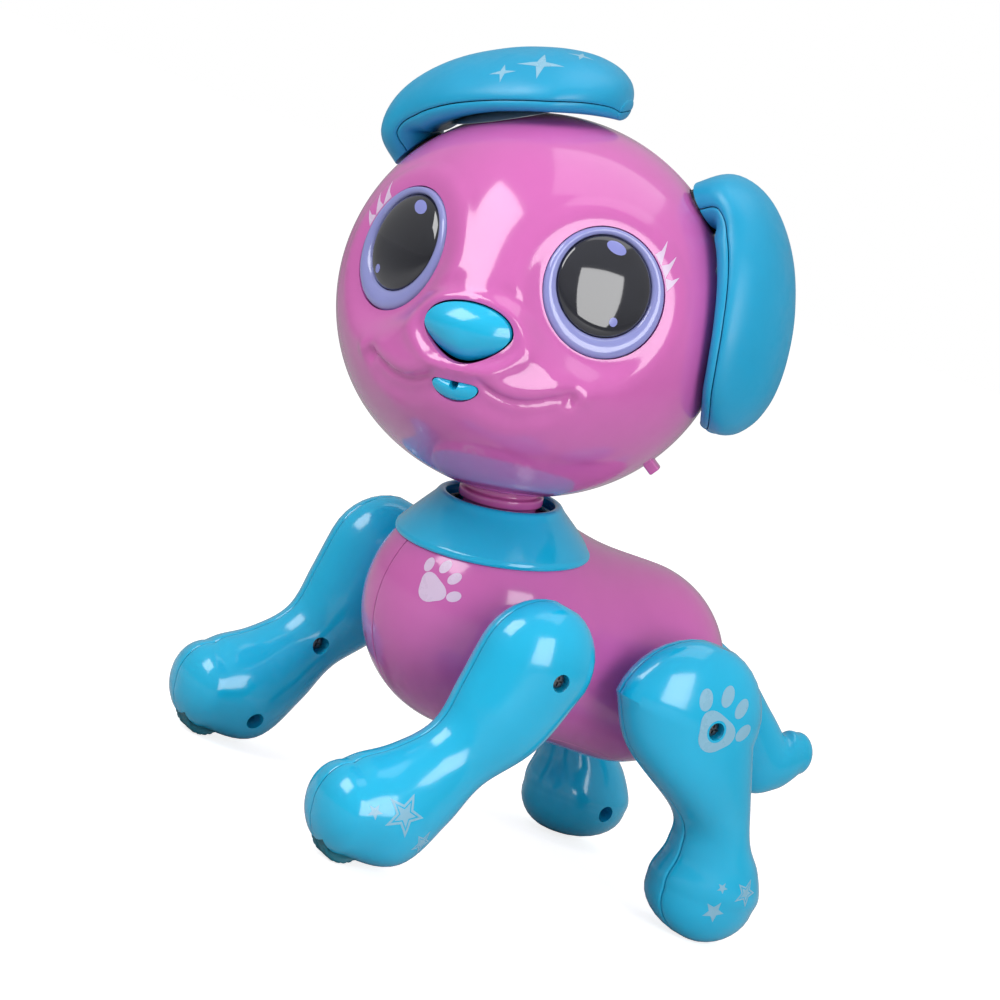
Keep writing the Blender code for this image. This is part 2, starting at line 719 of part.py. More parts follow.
def make_ear(side, sign, flip):
    shell = cut(ear_solid(0, 16, 1), ear_solid(WALL + 0.6 * MM, 10, 1))
    hub_bore = rod(UP * 30 * MM, UP * 62 * MM, PIVOT_RADIUS - 1.5 * MM + GAP, 16)
    cut(shell, hub_bore)
    inner = common(copy(shell), ear_divider(-GAP / 2))
    outer = cut(shell, ear_divider(GAP / 2))
    window = Matrix.Rotation(math.radians(33), 4, "Y")
    stretch = Matrix.Scale(1.45, 4, LEFT)
    pad_cut = moved(rod(UP * 45 * MM, UP * 61 * MM, 13 * MM, 18), stretch)
    bigger = moved(rod(UP * 45 * MM, UP * 61 * MM, 13 * MM + GAP, 18), stretch)
    pad = common(copy(inner), moved(pad_cut, window))
    cut(inner, moved(bigger, window))
    hub = turned([(0, 60 * MM), (5.5 * MM, 60 * MM), (5.5 * MM, 54.7 * MM), (6.9 * MM, 54.7 * MM),
                  (6.9 * MM, 47 * MM), (9.5 * MM, 47 * MM), (9.5 * MM, 44.5 * MM),
                  (0, 44.5 * MM)], 14)
    frame = ear_frame(1)
    if flip:
        frame = frame @ Matrix.Rotation(flip, 4, "Z")
    frame.translation = Vector((0, 0, 0))
    pieces = {"ear_outer_shell": (outer, "soft_blue"), "ear_inner_shell": (inner, "soft_blue"),
              "ear_pad": (pad, "grey"), "ear_pivot": (hub, "black")}
    axis = empty(f"{side}_ear_axis", Matrix.Translation((0, HEAD_SEAM, 0)), head)
    for name, (item, finish) in pieces.items():
        moved(item, frame)
        if sign < 0:
            twin = mirrored(item)
            bpy.data.objects.remove(item, do_unlink=True)
            item = twin
        add_part(f"{side}_{name}", item, finish, axis)


# ---- legs and tail ------------------------------------------------------------------
FRONT_LEG = (                                    # x, y, z, tilt, half depth, half width
    (0, -4.2, 12.0, -2, 13.2, 10.4),
    (0, -2.4, 1.0, -10, 17.4, 12.5),
    (0, -7.2, -15.2, -24, 15.4, 11.8),
    (0, -14.4, -28.4, -36, 11.4, 10.0),
    (0, -21.8, -39.2, -40, 13.6, 11.8),
    (0, -30.8, -48.6, -56, 16.4, 14.6),
    (0, -41.5, -50.5, -80, 12.6, 13.5),
)
FRONT_DOMES = (7, 9.5)
REAR_LEG = (
    (0, -4.0, 15.0, 0, 18.0, 9.6),
    (0, -3.0, -1.0, -4, 24.6, 12.0),
    (-0.8, 6.5, -16.0, -16, 20.8, 11.8),
    (-2.0, 18.5, -28.0, -14, 12.6, 10.4),
    (-3.2, 25.0, -37.0, -4, 12.6, 11.5),
    (-4.4, 28.0, -46.5, 0, 16.2, 13.8),
    (-4.8, 28.0, -56.5, 0, 15.6, 13.2),
    (-4.8, 28.0, -63.0, 0, 10.0, 8.6),
)
REAR_DOMES = (7, 0)
ROLLER_AT = Vector((0, -39, -58)) * MM
FRONT_SCREWS = ((-15.5, -28.5), (-28.5, -54.5))
REAR_SCREWS = ((33.5, -50.0),)


def leg_shell(keys, domes, solid_from):
    """A hollow leg; the section rows from solid_from on stay solid."""
    skin = limb(keys, domes, 14, 2)
    hollow = limb(keys[:solid_from], (domes[0], 3), 10, 1, WALL)
    return cut(skin, hollow)


def make_leg(name, pivot, sign, keys, domes, solid_from, screws, screw_side):
    """Inner and outer half shells on a pivot, held together by sunk cross screws."""
    shell = leg_shell(keys, domes, solid_from)
    half_width = keys[1][5] * MM
    reach = half_width + 2 * MM
    post = 4.6 * MM
    inside = half_width - 1.2 * MM
    join(shell, rod((-inside, 0, 0), (inside, 0, 0), post + 3.2 * MM, 14))
    for y, z in screws:
        narrow = 7.0 * MM
        join(shell, rod((-narrow, y * MM, z * MM), (narrow, y * MM, z * MM), 3.9 * MM, 10))
    seats = [((0.0, 0.0), 1, half_width - 4.0 * MM)]
    seats += [(place, screw_side, 5.0 * MM) for place in screws]
    fasteners = []
    for (y, z), face, depth in seats:
        centre = Vector((0, y, z)) * MM
        seat = centre + LEFT * face * depth
        mouth = centre + LEFT * face * (reach + 10 * MM)
        tip = centre - LEFT * face * 3.5 * MM
        cut(shell, rod(mouth, seat, SCREW_HEAD_RADIUS + 0.4 * MM, 12),
            rod(seat + LEFT * face * 0.5 * MM, tip, 1.3 * MM, 8))
        fasteners.append(screw(seat + LEFT * face * GAP, LEFT * face, depth + 2.5 * MM))
    hub_end = -5.2 * MM
    cut(shell, rod((hub_end + GAP, 0, 0), (-reach, 0, 0), PIVOT_RADIUS + GAP - 2 * MM, 16))
    if keys is FRONT_LEG:
        side = LEFT * (ROLLER_HALF_WIDTH + 0.6 * MM)
        cut(shell, rod(ROLLER_AT - side, ROLLER_AT + side, ROLLER_RADIUS + 0.8 * MM, 16))
        side = LEFT * 8.2 * MM
        cut(shell, rod(ROLLER_AT - side, ROLLER_AT + side, 1.8 * MM, 8))
    outer = common(copy(shell), half_space(1))
    inner = common(shell, half_space(-1))
    ball, radius = (CHEST, CHEST_RADIUS) if keys is FRONT_LEG else (RUMP, RUMP_RADIUS)
    flange_radius = PIVOT_RADIUS + 1.6 * MM
    aside = math.hypot(pivot.y - ball.y, pivot.z - ball.z) + flange_radius
    flange = math.sqrt((0.94 * (radius - WALL)) ** 2 - aside ** 2) - GAP - pivot.x
    hub = turned([(0, hub_end), (PIVOT_RADIUS - 2 * MM, hub_end),
                  (PIVOT_RADIUS - 2 * MM, -half_width - 0.5 * MM),
                  (PIVOT_RADIUS, -half_width - 0.5 * MM), (PIVOT_RADIUS, flange),
                  (flange_radius, flange), (flange_radius, flange - 2 * MM),
                  (0, flange - 2 * MM)], 14, facing((0, 0, 0), (1, 0, 0)))
    at = Vector((pivot.x * sign, pivot.y, pivot.z))
    axis = empty(f"{name}_axis", Matrix.Translation(at), dog)
    pieces = [("outer_shell", outer, "blue"), ("inner_shell", inner, "blue"), ("pivot", hub, "black")]
    pieces += [(f"screw_{index + 1}", item, "steel") for index, item in enumerate(fasteners)]
    for label, item, finish in pieces:
        if sign < 0:
            twin = mirrored(item)
            bpy.data.objects.remove(item, do_unlink=True)
            item = twin
        add_part(f"{name}_{label}", item, finish, axis)
    return axis


def make_roller(name, leg_axis):
    rim = 1.2 * MM
    half = ROLLER_HALF_WIDTH
    wheel = turned([(0, half), (ROLLER_RADIUS - rim, half), (ROLLER_RADIUS, half - rim),
                    (ROLLER_RADIUS, rim - half), (ROLLER_RADIUS - rim, -half), (0, -half)],
                   18, facing((0, 0, 0), (1, 0, 0)))
    join(wheel, rod(LEFT * -7.6 * MM, LEFT * 7.6 * MM, 1.4 * MM, 8))
    axis = empty(f"{name}_roller_axis", Matrix.Translation(ROLLER_AT), leg_axis)
    add_part(f"{name}_roller", wheel, "teal", axis)


TAIL = (
    (0, 3.0, 0.0, 79, 4.6, 4.4),
    (0, 17.0, -7.0, 55, 6.0, 5.2),
    (0, 30.0, -22.0, 44, 8.2, 6.2),
    (0, 38.5, -31.0, 72, 10.0, 6.8),
    (0, 45.5, -26.5, 125, 8.6, 6.2),
    (0, 48.3, -20.5, 152, 6.4, 5.0),
)


def make_tail():
    blade = limb(TAIL, (2, 5), 14, 2)
    join(blade, rod(Vector((0, -5, 0)) * MM, Vector((0, 8, -1.5)) * MM, 3.4 * MM, 12))
    add_part("tail", blade, "blue", tail_axis)


def main():
    make_body()
    make_collar()
    make_neck_post()
    make_electrics()
    make_head()
    make_eyes()
    make_muzzle()
    make_power_switch()
    make_ear("left", 1, 0)
    make_ear("right", -1, EAR_FLIP)
    for side, sign in (("left", 1), ("right", -1)):
        front = make_leg(f"front_{side}_leg", SHOULDER, sign, FRONT_LEG, FRONT_DOMES, 5,
                         FRONT_SCREWS, -1)
        make_roller(f"front_{side}", front)
        make_leg(f"rear_{side}_leg", HIP, sign, REAR_LEG, REAR_DOMES, 6, REAR_SCREWS, -1)
    make_tail()
    bpy.context.view_layer.update()


main()
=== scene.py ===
"""Looks of the posable toy robot dog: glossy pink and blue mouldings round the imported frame.

The dog faces -Y, its left side is +X and it stands on z = 0.  Sizes are in metres.
Each visible moulding replaces its CAD node with a finer one; what is inside keeps its
CAD shape and gets a material.
"""
import json
import math

import bmesh
import bpy
import numpy as np
from mathutils import Matrix, Vector
from mathutils.bvhtree import BVHTree

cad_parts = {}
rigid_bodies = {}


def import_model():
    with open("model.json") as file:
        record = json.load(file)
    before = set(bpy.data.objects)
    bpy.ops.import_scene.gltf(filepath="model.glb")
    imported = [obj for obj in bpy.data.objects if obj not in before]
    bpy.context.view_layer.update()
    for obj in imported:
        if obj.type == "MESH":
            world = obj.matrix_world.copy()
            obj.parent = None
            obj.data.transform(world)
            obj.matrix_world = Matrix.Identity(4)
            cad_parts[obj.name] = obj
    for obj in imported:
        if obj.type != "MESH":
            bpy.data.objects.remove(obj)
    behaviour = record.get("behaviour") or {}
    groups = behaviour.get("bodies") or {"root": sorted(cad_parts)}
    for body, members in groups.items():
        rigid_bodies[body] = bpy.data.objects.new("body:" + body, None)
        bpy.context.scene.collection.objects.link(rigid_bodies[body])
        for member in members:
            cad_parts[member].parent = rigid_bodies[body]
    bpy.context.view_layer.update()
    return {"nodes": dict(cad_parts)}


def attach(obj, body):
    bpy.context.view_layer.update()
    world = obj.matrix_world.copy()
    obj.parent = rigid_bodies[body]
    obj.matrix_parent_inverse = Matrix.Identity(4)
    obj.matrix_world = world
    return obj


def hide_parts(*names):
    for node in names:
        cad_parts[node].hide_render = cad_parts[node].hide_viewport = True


for old in list(bpy.data.objects):
    bpy.data.objects.remove(old, do_unlink=True)
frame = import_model()

MM = 0.001
GAP = 0.3 * MM
WALL = 2.2 * MM
LEFT = Vector((1, 0, 0))
BACK = Vector((0, 1, 0))
UP = Vector((0, 0, 1))
SIDES = (("left", 1), ("right", -1))
MIRROR = Matrix.Scale(-1, 4, LEFT)
scene = bpy.context.scene

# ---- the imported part's own sizes, repeated ------------------------------------------
CENTRE = Vector((0, -13.35, 0)) * MM
DOG = Matrix.Translation(CENTRE)
CHEST = Vector((0, -15.5, 67)) * MM
RUMP = Vector((0, 36, 65.2)) * MM
CHEST_RADIUS = 34.0 * MM
RUMP_RADIUS = 30.0 * MM
WAIST_DIP = 1.6 * MM
NECK_LEAN = math.radians(14)
NECK_HEIGHT = 89.3 * MM
NOD_HEIGHT = 13 * MM
HEAD_YAW = math.radians(44.5)
COLLAR_FOOT = 20.5 * MM
COLLAR_TOP = 34 * MM
COLLAR_OPENING = 15.5 * MM
HEAD_RADII = (55 * MM, 54 * MM, 53 * MM)
HEAD_SEAM = 8 * MM
EYE_SIDE = math.radians(37.5)
EYE_RISE = math.radians(17)
EYE_RADIUS = 17.5 * MM
LENS_RADIUS = 13.5 * MM
LENS_LIFT = 1.7 * MM
NOSE_RISE = math.radians(1)
NOSE_SIZE = (11.8 * MM, 8.0 * MM)
MOUTH_RISE = math.radians(-12.5)
MOUTH_SIZE = (6.2 * MM, 3.6 * MM)
EAR_RISE = math.radians(40)
EAR_INSIDE = 55.9 * MM
SHOULDER = Vector((48.5, -22, 65)) * MM
HIP = Vector((42.7, 37, 63)) * MM
PIVOT_RADIUS = 7 * MM
TAIL_PIN = Vector((0, 62, 75)) * MM
ROLLER_RADIUS = 7 * MM
ROLLER_HALF_WIDTH = 4.4 * MM
ROLLER_AT = Vector((0, -39, -58)) * MM
SCREW_HEAD_RADIUS = 2.2 * MM
BOX_CENTRE = Vector((0, 19, 55.4)) * MM
BOX_HALF = Vector((17.3, 24.2, 6.8)) * MM
HATCH_SCREW = Vector((0, 35, 38.2)) * MM
KNOB_TRAVEL = 2.5 * MM

NECK_FRAME = Matrix.Translation(CHEST) @ Matrix.Rotation(NECK_LEAN, 4, "X")
NECK = DOG @ NECK_FRAME
HEAD = NECK @ Matrix.Translation(UP * NECK_HEIGHT) @ Matrix.Rotation(HEAD_YAW, 4, "Z")


# ---- materials ----------------------------------------------------------------------
def node_material(name):
    material = bpy.data.materials.new(name)
    material.use_nodes = True
    tree = material.node_tree
    shader = tree.nodes["Principled BSDF"]
    return material, tree, shader, add(tree, "TexCoord").outputs["Object"]


def add(tree, kind, **values):
    """A new shader node with some of its inputs set."""
    made = tree.nodes.new(f"ShaderNode{kind}")
    for name, value in values.items():
        made.inputs[name].default_value = value
    return made


def noise(tree, spots, scale, detail=2.0, roughness=0.5):
    made = add(tree, "TexNoise", Scale=scale, Detail=detail, Roughness=roughness)
    tree.links.new(spots, made.inputs["Vector"])
    return made.outputs["Fac"]


def ramp(tree, value, stops):
    """stops: (position, colour or grey) pairs."""
    made = add(tree, "ValToRGB")
    elements = made.color_ramp.elements
    while len(elements) < len(stops):
        elements.new(0.5)
    for element, (place, colour) in zip(elements, stops):
        element.position = place
        shade = colour if isinstance(colour, tuple) else (colour, colour, colour)
        element.color = (*shade, 1)
    tree.links.new(value, made.inputs["Fac"])
    return made.outputs["Color"]


def bump(tree, shader, height, distance, strength=1.0):
    made = add(tree, "Bump", Distance=distance, Strength=strength)
    tree.links.new(height, made.inputs["Height"])
    tree.links.new(made.outputs["Normal"], shader.inputs["Normal"])


def shaded(colour, factor):
    return tuple(min(1.0, part * factor) for part in colour)


def moulded(name, colour, roughness, spread=0.06, grain=900, relief=0.012, coat=0.0,
            subsurface=0.0, specks=0.0):
    """Moulded plastic: cloudy colour, uneven gloss, a fine skin and a few tiny scuffs."""
    material, tree, shader, spots = node_material(name)
    cloud = noise(tree, spots, 38, 3, 0.6)
    tint = ramp(tree, cloud, [(0.3, shaded(colour, 1 - spread)),
                              (0.7, shaded(colour, 1 + spread))])
    if specks > 0:
        mix = add(tree, "Mix")
        mix.data_type = "RGBA"
        fleck = ramp(tree, noise(tree, spots, 1400, 1, 0.5), [(0.68, 0.0), (0.76, specks)])
        tree.links.new(fleck, mix.inputs["Factor"])
        tree.links.new(tint, mix.inputs["A"])
        mix.inputs["B"].default_value = (*shaded(colour, 0.8), 1)
        tint = mix.outputs["Result"]
    tree.links.new(tint, shader.inputs["Base Color"])
    gloss = ramp(tree, noise(tree, spots, 160, 4, 0.65),
                 [(0.35, roughness * 0.82), (0.7, roughness * 1.22)])
    tree.links.new(gloss, shader.inputs["Roughness"])
    shader.inputs["Coat Weight"].default_value = coat
    shader.inputs["Coat Roughness"].default_value = 0.06
    shader.inputs["Subsurface Weight"].default_value = subsurface
    shader.inputs["Subsurface Radius"].default_value = (1.0, 0.6, 0.8)
    shader.inputs["Subsurface Scale"].default_value = 0.002
    bump(tree, shader, noise(tree, spots, grain, 2), relief * MM, 0.6)
    return material


def metal(name):
    material, tree, shader, spots = node_material(name)
    tint = ramp(tree, noise(tree, spots, 500, 4),
                [(0.3, (0.10, 0.10, 0.11)), (0.7, (0.22, 0.22, 0.23))])
    tree.links.new(tint, shader.inputs["Base Color"])
    gloss = ramp(tree, noise(tree, spots, 900, 3), [(0.3, 0.24), (0.7, 0.42)])
    tree.links.new(gloss, shader.inputs["Roughness"])
    shader.inputs["Metallic"].default_value = 1.0
    bump(tree, shader, noise(tree, spots, 2600, 2), 0.02 * MM)
    return material


def circuit_board(name):
    """Green solder mask with copper tracks under it."""
    material, tree, shader, spots = node_material(name)
    tracks = add(tree, "TexVoronoi")
    tracks.feature = "DISTANCE_TO_EDGE"
    tracks.inputs["Scale"].default_value = 340
    tree.links.new(spots, tracks.inputs["Vector"])
    tint = ramp(tree, tracks.outputs["Distance"],
                [(0.04, (0.05, 0.34, 0.12)), (0.09, (0.012, 0.16, 0.05))])
    tree.links.new(tint, shader.inputs["Base Color"])
    gloss = ramp(tree, noise(tree, spots, 700, 2), [(0.3, 0.3), (0.7, 0.45)])
    tree.links.new(gloss, shader.inputs["Roughness"])
    bump(tree, shader, tracks.outputs["Distance"], 0.03 * MM, 0.5)
    return material


PINK = moulded("pink plastic", (0.62, 0.135, 0.45), 0.15, 0.035, coat=0.5, subsurface=0.08)
BLUE = moulded("blue plastic", (0.006, 0.47, 0.76), 0.18, 0.04, coat=0.4, subsurface=0.08)
SOFT_BLUE = moulded("soft blue plastic", (0.006, 0.34, 0.59), 0.40, 0.04, grain=1500,
                    relief=0.03, subsurface=0.08, specks=0.12)
LILAC = moulded("lilac plastic", (0.27, 0.29, 0.62), 0.14, 0.05, coat=0.6, subsurface=0.1)
LENS = moulded("lens plastic", (0.012, 0.013, 0.02), 0.05, 0.3, grain=500, relief=0.004, coat=1.0)
GREY = moulded("grey plastic", (0.30, 0.33, 0.38), 0.38, 0.08, grain=1700, relief=0.04, specks=0.2)
TEAL = moulded("teal rubber", (0.008, 0.16, 0.22), 0.5, 0.12, grain=1800, relief=0.06, specks=0.3)
BLACK = moulded("black plastic", (0.02, 0.02, 0.022), 0.45, 0.2, grain=1500, relief=0.05)
WHITE = moulded("white plastic", (0.62, 0.63, 0.62), 0.38, 0.05, grain=1200, relief=0.02)
PRINT_WHITE = moulded("pale lilac ink", (0.70, 0.55, 0.74), 0.3, 0.05, grain=2400, relief=0.01,
                      specks=0.15)
PRINT_BLUE = moulded("pale blue ink", (0.25, 0.50, 0.66), 0.3, 0.05, grain=2400, relief=0.01,
                     specks=0.15)
GLINT = moulded("glint ink", (0.24, 0.26, 0.62), 0.2, 0.08, grain=2400, relief=0.01, coat=0.5)
STEEL = metal("steel")
BOARD = circuit_board("circuit board")

KEPT_FINISHES = {
    "battery_box": BLACK, "battery_cell_1": WHITE, "battery_cell_2": WHITE,
    "battery_cell_3": WHITE, "main_board": BOARD, "speaker": BLACK, "left_eye_board": BOARD,
    "right_eye_board": BOARD, "nose_switch": BLACK, "power_switch_body": BLACK,
    "left_ear_pivot": BLACK, "right_ear_pivot": BLACK, "front_left_leg_pivot": BLACK,
    "front_right_leg_pivot": BLACK, "rear_left_leg_pivot": BLACK, "rear_right_leg_pivot": BLACK,
}


# ---- mesh helpers -------------------------------------------------------------------
ROD_SPIN = 0.11                                  # keeps a rod's corners off other edges


def mesh_of(form, matrix=None):
    """A bmesh as a mesh of triangles with its normals outward."""
    if matrix is not None:
        form.transform(matrix)
    bmesh.ops.recalc_face_normals(form, faces=form.faces)
    bmesh.ops.triangulate(form, faces=form.faces)
    mesh = bpy.data.meshes.new("shape")
    form.to_mesh(mesh)
    form.free()
    return mesh


def combine(mesh, tool, operation):
    """Both meshes are used up."""
    items = []
    for data in (mesh, tool):
        item = bpy.data.objects.new("work", data)
        scene.collection.objects.link(item)
        items.append(item)
    change = items[0].modifiers.new("change", "BOOLEAN")
    change.operation = operation
    change.solver = "MANIFOLD"
    change.object = items[1]
    bpy.context.view_layer.update()
    evaluated = items[0].evaluated_get(bpy.context.evaluated_depsgraph_get())
    made = bpy.data.meshes.new_from_object(evaluated)
    for item in items:
        bpy.data.objects.remove(item, do_unlink=True)
    for data in (mesh, tool):
        bpy.data.meshes.remove(data)
    return made


def cut(mesh, *tools):
    for tool in tools:
        mesh = combine(mesh, tool, "DIFFERENCE")
    return mesh


def join(mesh, *tools):
    for tool in tools:
        mesh = combine(mesh, tool, "UNION")
    return mesh


def common(mesh, tool):
    return combine(mesh, tool, "INTERSECT")


def moved(mesh, matrix):
    """The same mesh, moved or mirrored."""
    mesh.transform(matrix)
    if matrix.determinant() < 0:
        mesh.flip_normals()
    return mesh


def piece(name, mesh, material, body, slot, *nodes, angle=32):
    """Put a finished mesh in the scene on its body, in place of its CAD nodes."""
    item = bpy.data.objects.new(name, mesh)
    scene.collection.objects.link(item)
    mesh.name = name
    mesh.materials.clear()
    mesh.materials.append(material)
    mesh.shade_smooth()
    mesh.set_sharp_from_angle(angle=math.radians(angle))
    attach(item, body)
    if nodes:
        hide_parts(*nodes)
    return item


def facing(point, toward):
    """A frame at point whose +Z runs along toward and whose X is level."""
    forward = Vector(toward).normalized()
    side = UP.cross(forward)
    if side.length < 1e-6:
        side = LEFT.copy()
    side.normalize()
    turn = Matrix((side, forward.cross(side), forward)).transposed()
    return Matrix.Translation(point) @ turn.to_4x4()


def circle(count):
    """Angles spread evenly round a turn."""
    return [2 * math.pi * step / count for step in range(count)]


def skin(rings, caps=True):
    """A bmesh over rings of points; every ring has the same count of points."""
    form = bmesh.new()
    made = [[form.verts.new(point) for point in ring] for ring in rings]
    count = len(made[0])
    for ring, following in zip(made, made[1:]):
        for i in range(count):
            j = (i + 1) % count
            form.faces.new((ring[i], ring[j], following[j], following[i]))
    if caps:
        form.faces.new(made[0][::-1])
        form.faces.new(made[-1])
    return form


def looped(rings):
    """A bmesh over rings that lead back to the first one."""
    form = skin([*rings, rings[0]], False)
    bmesh.ops.remove_doubles(form, verts=form.verts, dist=0.002 * MM)
    return form


def turned(profile, sides=96, matrix=Matrix.Identity(4)):
    """A profile of (radius, height) turned round +Z; closed, or from axis to axis."""
    on_axis = profile[0][0] == 0
    loop = profile[1:-1] if on_axis else profile
    form = bmesh.new()
    columns = [[form.verts.new((r * math.cos(angle), r * math.sin(angle), h)) for r, h in loop]
               for angle in circle(sides)]
    ends = [form.verts.new((0, 0, h)) for h in (profile[0][1], profile[-1][1])] if on_axis else []
    for i, column in enumerate(columns):
        following = columns[(i + 1) % sides]
        span = len(loop) - 1 if on_axis else len(loop)
        for k in range(span):
            m = (k + 1) % len(loop)
            form.faces.new((column[k], column[m], following[m], following[k]))
        if on_axis:
            form.faces.new((ends[0], column[0], following[0]))
            form.faces.new((ends[1], following[-1], column[-1]))
    return mesh_of(form, matrix)


def rod(start, end, radius, sides=48, matrix=Matrix.Identity(4)):
    start, end = Vector(start), Vector(end)
    turn = UP.rotation_difference(end - start).to_matrix().to_4x4()
    length = (end - start).length
    place = matrix @ Matrix.Translation(start) @ turn @ Matrix.Rotation(ROD_SPIN, 4, "Z")
    return turned([(0, 0), (radius, 0), (radius, length), (0, length)], sides, place)


def block(low, high, matrix=Matrix.Identity(4)):
    low, high = Vector(low), Vector(high)
    form = bmesh.new()
    bmesh.ops.create_cube(form, size=1)
    bmesh.ops.scale(form, vec=high - low, verts=form.verts)
    bmesh.ops.translate(form, vec=(high + low) / 2, verts=form.verts)
    return mesh_of(form, matrix)


def prism(outline, low, high, matrix=Matrix.Identity(4)):
    form = skin([[(x, y, low) for x, y in outline], [(x, y, high) for x, y in outline]])
    return mesh_of(form, matrix)


def round_profile(points, radius, steps=3):
    """The profile with all its corners rounded, apart from its two ends."""
    out = [points[0]]
    for before, corner, after in zip(points, points[1:], points[2:]):
        before, corner, after = Vector(before), Vector(corner), Vector(after)
        reach = min(radius, (before - corner).length * 0.45, (after - corner).length * 0.45)
        start = corner + (before - corner).normalized() * reach
        stop = corner + (after - corner).normalized() * reach
        for step in range(steps + 1):
            t = step / steps
            point = start * (1 - t) ** 2 + corner * 2 * t * (1 - t) + stop * t * t
            out.append((point.x, point.y))
    out.append(points[-1])
    return out


# ---- body ---------------------------------------------------------------------------
BODY_HALF = (CHEST - RUMP).length / 2
NECK_HOLE = 20.5 * MM
TAIL_HOLE = 5.4 * MM
BODY_FRAME = DOG @ facing((CHEST + RUMP) / 2, CHEST - RUMP)


def body_profile(inset, arc_steps=30):
    """(radius, height) from the tip of the chest to the end of the rump."""
    profile = []
    for step in range(arc_steps):
        angle = math.pi / 2 * step / arc_steps
        radius = CHEST_RADIUS - inset
        profile.append((radius * math.sin(angle), BODY_HALF + radius * math.cos(angle)))
    for step in range(arc_steps + 1):
        t = step / arc_steps
        radius = CHEST_RADIUS + (RUMP_RADIUS - CHEST_RADIUS) * t * t * (3 - 2 * t)
        radius -= WAIST_DIP * math.sin(math.pi * t) ** 2
        profile.append((radius - inset, BODY_HALF - 2 * BODY_HALF * t))
    for step in range(1, arc_steps + 1):
        angle = math.pi / 2 * step / arc_steps
        radius = RUMP_RADIUS - inset
        profile.append((radius * math.cos(angle), -BODY_HALF - radius * math.sin(angle)))
    profile[-1] = (0, profile[-1][1])
    profile[0] = (0, profile[0][1])
    return profile


def body_half(sign):
    """Half the body's shell: outside and inside skins joined round the seam."""
    near_seam = [math.acos(d * MM / CHEST_RADIUS) for d in (0, 0.2, 0.45, 0.8)]
    between = list(np.linspace(near_seam[-1], -near_seam[-1], 64))[1:-1]
    turns = near_seam + between + [-turn for turn in near_seam[::-1]]
    rings = []
    outer, inner = body_profile(0), body_profile(WALL)
    for turn in turns:
        column = []
        for radius, height in outer:
            x = radius * math.cos(turn)
            drop = 0.3 * MM * max(0, 1 - x / (0.6 * MM)) ** 2
            radius = max(radius - drop, 0)
            column.append((max(radius * math.cos(turn), GAP / 2), radius * math.sin(turn), height))
        for radius, height in inner[::-1]:
            column.append((max(radius * math.cos(turn), GAP / 2), radius * math.sin(turn), height))
        rings.append(column)
    form = skin(rings, False)
    count = len(outer)
    form.verts.ensure_lookup_table()
    for start, flip in ((0, False), ((len(rings) - 1) * 2 * count, True)):
        for k in range(count - 1):
            quad = [form.verts[start + k], form.verts[start + k + 1],
                    form.verts[start + 2 * count - 2 - k], form.verts[start + 2 * count - 1 - k]]
            form.faces.new(quad[::-1] if flip else quad)
    bmesh.ops.remove_doubles(form, verts=form.verts, dist=0.000004)
    bmesh.ops.dissolve_degenerate(form, edges=form.edges, dist=0.000002)
    mesh = mesh_of(form, BODY_FRAME)
    return moved(mesh, MIRROR) if sign < 0 else mesh


def battery_hatch(clearance):
    """The outline of the battery door, as a block through the belly."""
    half = BOX_HALF - Vector((2.4, 2.4, 0)) * MM + Vector((1, 1, 0)) * clearance
    corner = 2.2 * MM + clearance
    outline = []
    for cx, cy, first in ((1, 1, 0), (-1, 1, 90), (-1, -1, 180), (1, -1, 270)):
        for step in range(7):
            angle = math.radians(first + 15 * step)
            outline.append((cx * (half.x - corner) + corner * math.cos(angle),
                            cy * (half.y - corner) + corner * math.sin(angle)))
    return prism(outline, 0, BOX_CENTRE.z - 8 * MM, DOG @ Matrix.Translation((0, BOX_CENTRE.y, 0)))


def body_full(inset, sides=160):
    return turned(body_profile(inset), sides, BODY_FRAME)


def make_body():
    for side, sign in SIDES:
        shell = body_half(sign)
        holes = [battery_hatch(GAP),
                 rod(CHEST, CHEST + NECK_FRAME.to_3x3() @ UP * 60 * MM, NECK_HOLE, 96, DOG),
                 rod(TAIL_PIN - BACK * 8 * MM, TAIL_PIN + BACK * 9 * MM, TAIL_HOLE, 48, DOG)]
        for pivot in (SHOULDER, HIP):
            start = Vector((sign * 10 * MM, pivot.y, pivot.z))
            end = Vector((sign * 60 * MM, pivot.y, pivot.z))
            holes.append(rod(start, end, PIVOT_RADIUS + GAP, 64, DOG))
        shell = cut(shell, *holes)
        piece(f"body_{side}_moulding", shell, PINK, "body", "pink_plastic", f"body_{side}_shell")
    door = cut(body_full(0), body_full(WALL))
    door = common(door, battery_hatch(0))
    grip = [block(Vector((-7, y - 0.35, 30)) * MM, Vector((7, y + 0.35, 36.2)) * MM, DOG)
            for y in (4, 6, 8, 10)]
    door = cut(door, rod(HATCH_SCREW - UP * 8 * MM, HATCH_SCREW, 2.6 * MM, 40, DOG),
               rod(HATCH_SCREW - UP * MM, HATCH_SCREW + UP * 5 * MM, 1.25 * MM, 32, DOG), *grip)
    piece("battery_door_moulding", door, PINK, "body", "pink_plastic", "battery_door")


